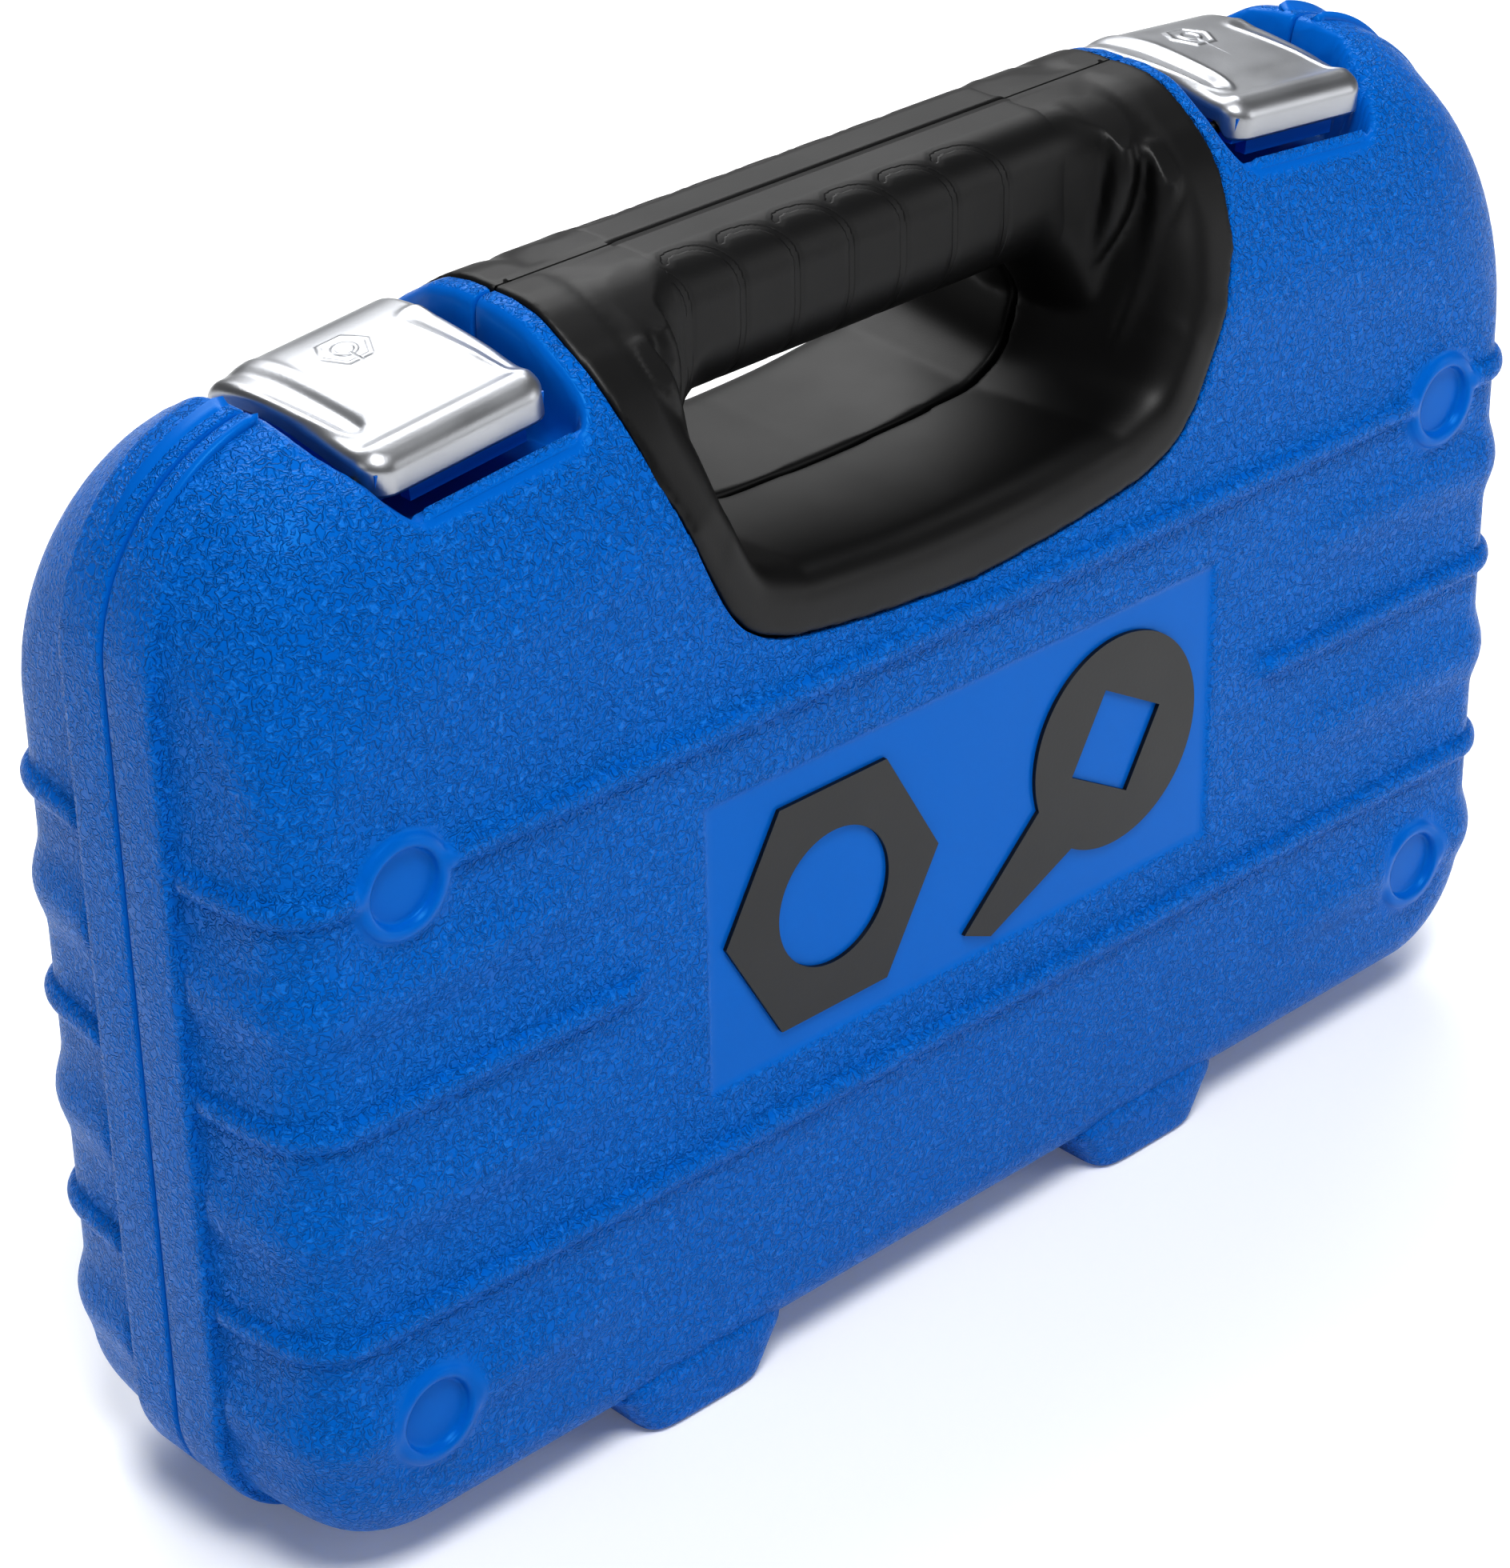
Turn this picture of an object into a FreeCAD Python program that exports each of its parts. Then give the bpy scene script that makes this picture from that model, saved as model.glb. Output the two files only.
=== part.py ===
import FreeCAD, Part
import math
import os

from FreeCAD import Vector

# A moulded tool case that stands on its hinge side, with the tools it holds.
# All sizes are in millimetres. X is the width, Y the depth (lid towards -Y), Z is up.

# --- Case -------------------------------------------------------------------
HALF_GAP = 0.25            # half of the parting gap between the two shells
RIM_DEPTH = 14.0           # how far the raised rim reaches from the parting plane
RIM_HALF = 181.0
RIM_TOP = 244.0
RIM_BOTTOM = 5.2
CORNER_TOP = 41.4
CORNER_BOTTOM = 26.0
FLAT_HALF = 89.7           # the top edge is level out to here, then falls away
TOP_SLOPE = 0.094
WALL = 3.0
LID_DEPTH = 43.2
BASE_DEPTH = 43.2
# (depth short of the face, half width, top height, bottom height) of the drafted body
BODY_STATIONS = [
    (29.2, 178.4, 241.0, 8.2),
    (23.2, 178.0, 238.6, 8.3),
    (17.2, 177.4, 234.9, 8.5),
    (12.2, 176.7, 229.8, 8.8),
    (8.2, 175.6, 224.0, 9.4),
    (4.7, 173.6, 217.0, 10.8),
    (2.0, 170.6, 209.5, 13.2),
    (0.6, 168.0, 204.0, 15.8),
    (0.0, 165.5, 199.0, 18.5),
]
BEAD_HEIGHTS = [160.3, 111.8, 63.25]
BEAD_WIDTH = 5.0
BEAD_PROUD = 2.1
SWELL_HEIGHTS = [137.0, 88.5, 40.0]
SWELL_WIDTH = 16.0
SWELL_PROUD = 1.6
RING_X = 149.3
RING_HEIGHTS = [158.4, 38.2]
RING_OUTER = 11.1
RING_INNER = 8.25
RING_PROUD = 1.2
PANEL_HALF = 74.5
PANEL_LOW = 77.0
PANEL_HIGH = 144.0
PANEL_DEPTH = 0.8

# --- Feet and hinge -----------------------------------------------------------
FOOT_TOP_WIDTH = 47.0
FOOT_BOTTOM_WIDTH = 31.0
FOOT_HEIGHT = 12.0
FOOT_INNER_Y = 15.5
LID_FEET_X = [-76.5, 60.5]
BASE_FEET_X = [-25.5, 111.5]
HINGE_Z = 4.8
KNUCKLE_R = 4.5
KNUCKLE_LENGTH = 12.0
KNUCKLE_GAP = 0.5
HINGE_CENTRES = [-140.0, 140.0]
HINGE_PIN_R = 1.6
RUNNING = 0.08

# --- Handle -------------------------------------------------------------------
# one half of the collar's outline, from the middle of its bottom to above the top
COLLAR = [(0.0, 167.3), (27.0, 169.4), (50.0, 172.8), (60.0, 177.2), (66.5, 184.0),
          (73.5, 198.0), (80.0, 214.0), (84.5, 230.0), (86.0, 244.0), (86.5, 262.0)]
# the same for the window at the parting plane and at the lid's face
WINDOW_MID = [(0.0, 180.8), (20.0, 181.1), (43.0, 182.8), (52.0, 188.0), (56.0, 198.0),
              (57.5, 212.0), (58.0, 262.0)]
WINDOW_FACE = [(0.0, 182.0), (20.0, 182.7), (44.0, 185.0), (56.0, 190.0), (62.5, 200.0),
               (67.5, 216.0), (71.0, 262.0)]
GRIP_HALF_DEPTH = 18.0
GRIP_LOW = 211.5
GRIP_HIGH = 244.5
GRIP_ROUND = 10.0
GRIP_LOW_ROUND = 16.0
GRIP_HALF_LENGTH = 54.0
SEAM = 0.15
COLLAR_FIT = 0.25

# --- Latches -------------------------------------------------------------------
LATCH_X = 117.0
LATCH_TILT = 5.4
LATCH_HALF = 21.5
LATCH_PLATE = 1.2
NOTCH_HALF = 24.0
LATCH_PIVOT = (17.0, 226.5)
LATCH_PIN_R = 1.5
LATCH_LUG_R = 4.6
ROD_AT = (-20.5, 229.6)
ROD_R = 1.4
ROD_HALF = 23.2
# side view of the steel cover's outside, from the lip round to the rear edge
COVER_SIDE = [(-26.4, 227.6), (-27.4, 233.0), (-25.0, 234.0), (-10.0, 237.4), (0.0, 238.7), (8.0, 239.2),
              (16.0, 238.5), (21.0, 236.6), (24.4, 233.0), (25.4, 228.0)]

# --- Inside ---------------------------------------------------------------------
TRAY_FACE = 16.0
TRAY_SHEET = 2.0
LINER_FACE = -12.0
PANEL_TOP = 207.0
SEAT_FIT = 0.3
SEAT_WALL = 1.6
SOCKET_Y = 19.5
SOCKET_LENGTH = 38.0
DRIVE_SQUARE = 12.7
UPPER_ROW_Z = 76.0
LOWER_ROW_Z = 33.0
SOCKET_GAP = 6.0
# outside diameter and wrench opening of each socket
UPPER_ROW = [(17.5, 10), (18.5, 11), (19.5, 12), (20.5, 13), (21.5, 14), (22.5, 15), (23.5, 16),
             (24.5, 17), (25.5, 18), (26.5, 19)]
LOWER_ROW = [(28.0, 20), (29.5, 21), (31.0, 22), (32.5, 23), (33.5, 24), (35.0, 26), (36.0, 27)]
PLUG_SOCKETS = [(-136.0, 21.4, 16), (136.0, 27.0, 21)]
PLUG_SOCKET_LENGTH = 62.0
PLUG_SOCKET_Z = 187.0
RATCHET_X = -138.0
RATCHET_Y = 17.5
RATCHET_Z = 141.0
HEAD_R = 18.0
HEAD_HALF = 7.0
BAR_Z = 110.5
BAR_R = 7.5


def export(shape, name):
    shape.exportStep(os.path.join("parts", name + ".step"))


def box(x0, x1, y0, y1, z0, z1):
    """A box between two values on each axis."""
    return Part.makeBox(x1 - x0, y1 - y0, z1 - z0, Vector(x0, y0, z0))


def rod_x(x0, x1, y, z, r):
    """A round rod along X."""
    return Part.makeCylinder(r, x1 - x0, Vector(x0, y, z), Vector(1, 0, 0))


def rod_y(x, y0, y1, z, r):
    """A round rod along Y."""
    return Part.makeCylinder(r, y1 - y0, Vector(x, y0, z), Vector(0, 1, 0))


def rod_z(x, y, z0, z1, r):
    """A round rod along Z."""
    return Part.makeCylinder(r, z1 - z0, Vector(x, y, z0), Vector(0, 0, 1))


def fuse(shapes):
    """All the shapes joined into one."""
    joined = shapes[0]
    if len(shapes) > 1:
        joined = joined.fuse(shapes[1:])
    return joined.removeSplitter()


def arc(cx, cz, r, start, end, y):
    """An arc in a plane of constant y, angles in degrees from +X towards +Z."""
    angles = [math.radians(start + (end - start) * f) for f in (0.0, 0.5, 1.0)]
    points = [Vector(cx + r * math.cos(a), y, cz + r * math.sin(a)) for a in angles]
    return Part.Arc(*points).toShape()


def outline(y, half, top, bottom, r_top, r_bottom):
    """The case's outline at one depth: level top, falling shoulders, round corners."""
    fall = math.degrees(math.atan(TOP_SLOPE))
    cx = half - r_top
    touch_x = cx + r_top * math.sin(math.radians(fall))
    touch_z = top - (touch_x - FLAT_HALF) * TOP_SLOPE
    cz = touch_z - r_top * math.cos(math.radians(fall))
    bx = half - r_bottom
    bz = bottom + r_bottom
    edges = [
        Part.makeLine(Vector(-FLAT_HALF, y, top), Vector(FLAT_HALF, y, top)),
        Part.makeLine(Vector(FLAT_HALF, y, top), Vector(touch_x, y, touch_z)),
        arc(cx, cz, r_top, 90 - fall, 0, y),
        Part.makeLine(Vector(half, y, cz), Vector(half, y, bz)),
        arc(bx, bz, r_bottom, 0, -90, y),
        Part.makeLine(Vector(bx, y, bottom), Vector(-bx, y, bottom)),
        arc(-bx, bz, r_bottom, -90, -180, y),
        Part.makeLine(Vector(-half, y, bz), Vector(-half, y, cz)),
        arc(-cx, cz, r_top, 180, 90 + fall, y),
        Part.makeLine(Vector(-touch_x, y, touch_z), Vector(-FLAT_HALF, y, top)),
    ]
    return Part.Wire(edges)


def prism(wire, y_to):
    """A flat outline pushed along Y to y_to."""
    start = wire.Vertexes[0].Point.y
    return Part.Face(wire).extrude(Vector(0, y_to - start, 0))


def body_form(side, depth, grow, first_y):
    """The drafted body of one shell, every wall moved out by grow."""
    wires = []
    half, top, bottom = BODY_STATIONS[0][1:]
    sections = [(first_y, half, top, bottom)]
    for short, half, top, bottom in BODY_STATIONS:
        sections.append((depth - short + grow, half, top, bottom))
    for y, half, top, bottom in sections:
        wires.append(outline(side * y, half + grow, top + grow, bottom - grow, CORNER_TOP - 3.0, CORNER_BOTTOM - 3.0))
    return Part.makeLoft(wires, True, True)


def half_curve(points, grow, y, lift=0.0):
    """A closed U-shaped wire through the mirrored points, moved outwards by grow."""
    full = [(-x, z) for x, z in reversed(points[1:])] + points
    moved = []
    for i, (x, z) in enumerate(full):
        x0, z0 = full[max(i - 1, 0)]
        x1, z1 = full[min(i + 1, len(full) - 1)]
        length = math.hypot(x1 - x0, z1 - z0)
        moved.append(Vector(x + grow * (z1 - z0) / length, y, z - grow * (x1 - x0) / length + lift))
    curve = Part.BSplineCurve()
    curve.interpolate(moved)
    return Part.Wire([curve.toShape(), Part.makeLine(moved[-1], moved[0])])


def collar_block(side, grow, depth):
    """The U-shaped block the handle fills in one shell."""
    return prism(half_curve(COLLAR, grow, -side * 2.0), side * (depth + 8.0))


def place_latch(shape, side):
    """Tilts a shape drawn about x = 0 and puts it at one latch."""
    moved = shape.copy()
    moved.rotate(Vector(0, 0, 240.0), Vector(0, 1, 0), LATCH_TILT)
    moved.translate(Vector(LATCH_X, 0, 0))
    if side < 0:
        moved = moved.mirror(Vector(0, 0, 0), Vector(1, 0, 0))
    return moved


def side_prism(points, half):
    """A shape with the given side view (y, z), half wide each way about x = 0."""
    ring = [Vector(-half, y, z) for y, z in points]
    return Part.Face(Part.makePolygon(ring + ring[:1])).extrude(Vector(2 * half, 0, 0))


def notch(grow):
    """The space under and round a latch, drawn about x = 0."""
    low = -grow
    floor = [(-60, 224.0 + low), (-33.5, 222.5 + low), (-29.0, 218.5 + low), (0, 217.0 + low),
             (5.0, 213.5 + low), (31.0, 213.5 + low), (60, 206.0 + low), (60, 290.0), (-60, 290.0)]
    return side_prism(floor, NOTCH_HALF + grow)


def foot(x, side, depth):
    """A foot with sloping ends, level with the face above it."""
    top = FOOT_TOP_WIDTH / 2
    low = FOOT_BOTTOM_WIDTH / 2
    corners = [(x - top, FOOT_HEIGHT), (x - low, 0.0), (x + low, 0.0), (x + top, FOOT_HEIGHT)]
    ring = [Vector(px, side * FOOT_INNER_Y, pz) for px, pz in corners]
    wedge = Part.Face(Part.makePolygon(ring + ring[:1])).extrude(Vector(0, side * (depth - FOOT_INNER_Y), 0))
    cheek = box(x - top, x + top, min(side * (depth - 9.0), side * depth), max(side * (depth - 9.0), side * depth),
                FOOT_HEIGHT, 20.0)
    return wedge.fuse(cheek)


def bands(side, depth):
    """The raised beads and the soft swells between them, as slices of a grown body."""
    slices = []
    for proud, width, heights in ((BEAD_PROUD, BEAD_WIDTH, BEAD_HEIGHTS),
                                  (SWELL_PROUD, SWELL_WIDTH, SWELL_HEIGHTS)):
        grown = body_form(side, depth, proud, RIM_DEPTH - 2.0)
        y0, y1 = sorted((side * (RIM_DEPTH - 0.5), side * (depth + 5.0)))
        for z in heights:
            piece = grown.common(box(-200, 200, y0, y1, z - width / 2, z + width / 2))
            if (z != BEAD_HEIGHTS[0] and z != BEAD_HEIGHTS[2]) and side < 0:
                piece = piece.cut(box(-92, 92, -60, 0, z - 20, z + 20))
            slices.append(piece)
    return slices


def knuckle_spans(owner):
    """The X ranges of one shell's hinge knuckles; owner 0 is the base, 1 the lid."""
    spans = []
    pitch = KNUCKLE_LENGTH + KNUCKLE_GAP
    for centre in HINGE_CENTRES:
        inwards = -1 if centre > 0 else 1
        for i in range(5):
            if i % 2 == owner:
                mid = centre + inwards * pitch * (i - 1)
                spans.append((mid - KNUCKLE_LENGTH / 2, mid + KNUCKLE_LENGTH / 2))
    return spans


def add_knuckles(shell, side, owner):
    """Gives a shell its own knuckles and clears it round the other shell's."""
    for x0, x1 in knuckle_spans(1 - owner):
        shell = shell.cut(rod_x(x0 - 0.4, x1 + 0.4, 0, HINGE_Z, KNUCKLE_R + 0.5))
    extra = []
    for x0, x1 in knuckle_spans(owner):
        y0, y1 = sorted((side * 0.3, side * 9.0))
        extra.append(rod_x(x0, x1, 0, HINGE_Z, KNUCKLE_R))
        extra.append(box(x0, x1, y0, y1, HINGE_Z, RIM_BOTTOM + 2.0))
    shell = fuse([shell] + extra)
    bore = HINGE_PIN_R + (RUNNING if owner else 0.0)
    for x0, x1 in knuckle_spans(owner):
        shell = shell.cut(rod_x(x0 - 0.1, x1 + 0.1, 0, HINGE_Z, bore))
    return shell


def rings(side, depth):
    """The four raised rings on a face and the pockets inside them."""
    raised = []
    pockets = []
    for x in (-RING_X, RING_X):
        for z in RING_HEIGHTS:
            y_out = side * (depth + RING_PROUD)
            y0, y1 = sorted((side * (depth - 1.0), y_out))
            raised.append(rod_y(x, y0, y1, z, RING_OUTER))
            y0, y1 = sorted((side * (depth - 0.6), side * (depth + 6.0)))
            pockets.append(rod_y(x, y0, y1, z, RING_INNER))
    return raised, pockets


def shell(side, depth, feet_x, owner):
    """One moulded half of the case: rim, drafted body, beads, rings, feet and knuckles."""
    rim = prism(outline(side * HALF_GAP, RIM_HALF, RIM_TOP, RIM_BOTTOM, CORNER_TOP, CORNER_BOTTOM),
                side * RIM_DEPTH)
    outside = [rim, body_form(side, depth, 0.0, RIM_DEPTH - 2.0)]
    outside += bands(side, depth)
    outside += [foot(x, side, depth) for x in feet_x]
    raised, pockets = rings(side, depth)
    if side < 0:
        outside += raised
    solid = fuse(outside)
    inside = body_form(side, depth, -WALL, -1.0)
    inside = inside.cut(collar_block(side, WALL + COLLAR_FIT, depth))
    for hand in (-1, 1):
        inside = inside.cut(place_latch(notch(WALL), hand))
    solid = solid.cut(inside)
    solid = solid.cut(collar_block(side, COLLAR_FIT, depth))
    for hand in (-1, 1):
        solid = solid.cut(place_latch(notch(0.0), hand))
    if side < 0:
        solid = solid.cut(fuse_all(pockets))
        solid = solid.cut(box(-PANEL_HALF, PANEL_HALF, -depth - 3, -depth + PANEL_DEPTH, PANEL_LOW, PANEL_HIGH))
        for hand in (-1, 1):
            solid = solid.cut(place_latch(rod_x(-NOTCH_HALF - 0.9, NOTCH_HALF + 0.9, *ROD_AT, ROD_R + 0.8), hand))
    else:
        for hand in (-1, 1):
            solid = solid.cut(place_latch(rod_x(-NOTCH_HALF - 2.2, NOTCH_HALF + 2.2, *LATCH_PIVOT, LATCH_PIN_R), hand))
    return add_knuckles(solid, side, owner)


def fuse_all(shapes):
    """Shapes that do not touch, joined for one cut."""
    return shapes[0].fuse(shapes[1:])


def grip_section(x, half_depth, low, high, r, r_low):
    """The grip bar's rounded section at one x, rounder underneath."""
    y0, y1 = -half_depth, half_depth
    pts = [(y0 + r, high), (y1 - r, high), (y1, high - r), (y1, low + r_low), (y1 - r_low, low), (y0 + r_low, low),
           (y0, low + r_low), (y0, high - r)]
    v = [Vector(x, y, z) for y, z in pts]
    k = r * (1 - math.sqrt(0.5))
    k_low = r_low * (1 - math.sqrt(0.5))
    mids = [Vector(x, y1 - k, high - k), Vector(x, y1 - k_low, low + k_low), Vector(x, y0 + k_low, low + k_low),
            Vector(x, y0 + k, high - k)]
    edges = []
    for i in range(4):
        a, b, c = v[2 * i], v[2 * i + 1], v[(2 * i + 2) % 8]
        edges.append(Part.makeLine(a, b))
        edges.append(Part.Arc(b, mids[i], c).toShape())
    return Part.Wire(edges)


def grip_bar():
    """The grip bar, swelling into the collar at both ends."""
    sections = []
    for x, out in ((-76.0, 5.0), (-66.0, 4.0), (-GRIP_HALF_LENGTH, 0.0), (GRIP_HALF_LENGTH, 0.0), (66.0, 4.0),
                   (76.0, 5.0)):
        sections.append(grip_section(x, GRIP_HALF_DEPTH + out, GRIP_LOW - out, GRIP_HIGH, GRIP_ROUND,
                                     GRIP_LOW_ROUND))
    return Part.makeLoft(sections, True, True)


def handle_half(side, depth):
    """One half of the black handle: collar round the window, and half of the grip bar."""
    rim = prism(outline(side * SEAM, RIM_HALF, RIM_TOP + 0.4, RIM_BOTTOM, CORNER_TOP, CORNER_BOTTOM), side * RIM_DEPTH)
    form = rim.fuse(body_form(side, depth, 0.3, RIM_DEPTH - 2.0))
    collar = form.common(collar_block(side, 0.0, depth))
    dish = Part.makeLoft([half_curve(WINDOW_MID, 0.0, -side * 1.0), half_curve(WINDOW_FACE, 0.0, side * (depth + 2.0))],
                         True, True)
    collar = collar.cut(dish)
    reach = sorted((side * SEAM, side * 60.0))
    bar = grip_bar().common(box(-80, 80, reach[0], reach[1], 180, 260))
    return fuse([collar, bar])


def inner_side(points, inset):
    """The cover's side view moved inwards by the sheet thickness."""
    moved = []
    for i, (y, z) in enumerate(points):
        y0, z0 = points[max(i - 1, 0)]
        y1, z1 = points[min(i + 1, len(points) - 1)]
        length = math.hypot(y1 - y0, z1 - z0)
        moved.append((y + inset * (z1 - z0) / length, z - inset * (y1 - y0) / length))
    return moved


def latch_cover():
    """The pressed steel cover: a shallow cap with a lip folded down at the front."""
    outer = side_prism(COVER_SIDE, LATCH_HALF)
    inner = inner_side(COVER_SIDE, LATCH_PLATE)
    inner[0] = (inner[0][0], inner[0][1] - 1.0)
    inner[-1] = (inner[-1][0], inner[-1][1] - 1.0)
    cap = outer.cut(side_prism(inner, LATCH_HALF - LATCH_PLATE))
    cap = cap.cut(box(-30, 30, -24.5, 30, 220, 227.9))
    return cap.cut(box(-30, 30, 12.0, 30, 220, 228.4))


def latch_body():
    """The moulded latch under the cover, with its pivot lug and finger tab."""
    half = LATCH_HALF - LATCH_PLATE - 0.2
    inner = inner_side(COVER_SIDE, LATCH_PLATE + 0.1)
    top = [p for p in inner[1:-1]]
    block = side_prism([(inner[0][0] + 0.15, 227.0)] + top + [(top[-1][0], 227.0)], half)
    lug = rod_x(-half, half, *LATCH_PIVOT, LATCH_LUG_R)
    tab = box(-15.5, 12.5, -25.2, -22.4, 224.0, 230.0)
    solid = fuse([block, lug, tab])
    solid = solid.cut(box(-half + 2.0, half - 2.0, -17.5, 11.0, 220.0, 234.0))
    solid = solid.cut(rod_x(-half - 1, half + 1, *LATCH_PIVOT, LATCH_PIN_R + RUNNING))
    return solid.cut(rod_x(-half - 1, half + 1, *ROD_AT, ROD_R))


def latch_rod():
    return rod_x(-ROD_HALF, ROD_HALF, *ROD_AT, ROD_R)


def build_latches():
    """Both latches and the pins they turn on."""
    cover = latch_cover()
    moulding = latch_body()
    cover = cover.cut(rod_x(-30, 30, *ROD_AT, ROD_R))
    for name, hand in (("left", -1), ("right", 1)):
        export(place_latch(cover, hand), "latch_cover_" + name)
        export(place_latch(moulding, hand), "latch_body_" + name)
        export(place_latch(latch_rod(), hand), "latch_rod_" + name)
    pin = rod_x(-NOTCH_HALF - 2.0, NOTCH_HALF + 2.0, *LATCH_PIVOT, LATCH_PIN_R)
    export(Part.makeCompound([place_latch(pin, -1), place_latch(pin, 1)]), "latch_pivot_pins")


def build_hinge_pins():
    """The two steel pins through the hinge knuckles."""
    pins = []
    for sign in (-1, 1):
        spans = [s for s in knuckle_spans(0) + knuckle_spans(1) if s[0] * sign > 0]
        pins.append(rod_x(min(s[0] for s in spans), max(s[1] for s in spans), 0, HINGE_Z, HINGE_PIN_R))
    export(Part.makeCompound(pins), "hinge_pins")


def hexagon(across_corners, x, z, y0, y1, turn=0.0):
    """A six-sided prism along Y."""
    ring = []
    for i in range(6):
        a = math.radians(60 * i + turn)
        ring.append(Vector(x + across_corners / 2 * math.cos(a), y0, z + across_corners / 2 * math.sin(a)))
    return Part.Face(Part.makePolygon(ring + ring[:1])).extrude(Vector(0, y1 - y0, 0))


def build_emblem():
    """Plain black inlays on the lid: a nut, and a ratchet with its square drive."""
    y0 = -LID_DEPTH - 0.4
    y1 = -LID_DEPTH + PANEL_DEPTH - 0.02
    nut = hexagon(60.0, -40.0, 110.0, y0, y1).cut(rod_y(-40.0, y0 - 1, y1 + 1, 110.0, 15.5))
    export(nut, "emblem_nut")
    head = rod_y(44.0, y0, y1, 113.0, 25.0)
    arm = [(-2.0, 84.0), (6.0, 80.5), (44.0, 98.0), (34.0, 118.0)]
    ring = [Vector(x, y0, z) for x, z in arm]
    bar = Part.Face(Part.makePolygon(ring + ring[:1])).extrude(Vector(0, y1 - y0, 0))
    ratchet = fuse([head, bar])
    square = box(-10, 10, y0 - 1, y1 + 1, -10, 10)
    square.rotate(Vector(0, 0, 0), Vector(0, 1, 0), 30)
    square.translate(Vector(44.0, 0, 113.0))
    export(ratchet.cut(square), "emblem_ratchet")


def socket_shape(diameter, size, length):
    """A socket along Z from 0 to length, drive end at 0."""
    drive_r = 11.0
    r = diameter / 2
    split = length * 0.45
    solid = fuse([
        Part.makeCylinder(drive_r, split),
        Part.makeCone(drive_r, r, 4.0, Vector(0, 0, split)),
        Part.makeCylinder(r, length - split - 4.0, Vector(0, 0, split + 4.0)),
    ])
    half = DRIVE_SQUARE / 2 + 0.1
    solid = solid.cut(Part.makeBox(2 * half, 2 * half, 16.0, Vector(-half, -half, -1.0)))
    ring = []
    for i in range(6):
        a = math.radians(60 * i)
        ring.append(Vector(size / math.sqrt(3) * math.cos(a), size / math.sqrt(3) * math.sin(a), split + 5.0))
    hexagon_hole = Part.Face(Part.makePolygon(ring + ring[:1])).extrude(Vector(0, 0, length))
    return solid.cut(hexagon_hole)


def seat_for_rod_z(x, z0, z1, r, y=SOCKET_Y):
    """The seat of something round lying along Z: a trough open towards the lid."""
    trough = rod_z(x, y, z0, z1, r)
    return trough.fuse(box(x - r, x + r, TRAY_FACE - 10, y, z0, z1))


def seat_for_rod_x(x0, x1, z, r, y):
    """The same for something lying along X."""
    trough = rod_x(x0, x1, y, z, r)
    return trough.fuse(box(x0, x1, TRAY_FACE - 10, y, z - r, z + r))


def socket_row(row, z_mid, first):
    """One row of sockets standing along Z, spread evenly; returns their seats."""
    total = sum(max(d, 22.0) for d, _ in row) + SOCKET_GAP * (len(row) - 1)
    x = -total / 2
    seats = []
    for i, (diameter, size) in enumerate(row):
        wide = max(diameter, 22.0)
        x_mid = x + wide / 2
        shape = socket_shape(diameter, size, SOCKET_LENGTH)
        shape.translate(Vector(x_mid, SOCKET_Y, z_mid - SOCKET_LENGTH / 2))
        export(shape, "socket_%02d" % (first + i))
        z0 = z_mid - SOCKET_LENGTH / 2 - 0.5
        seats.append((x_mid, z0, z0 + SOCKET_LENGTH + 1.0, wide / 2))
        x += wide + SOCKET_GAP
    return seats


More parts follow.
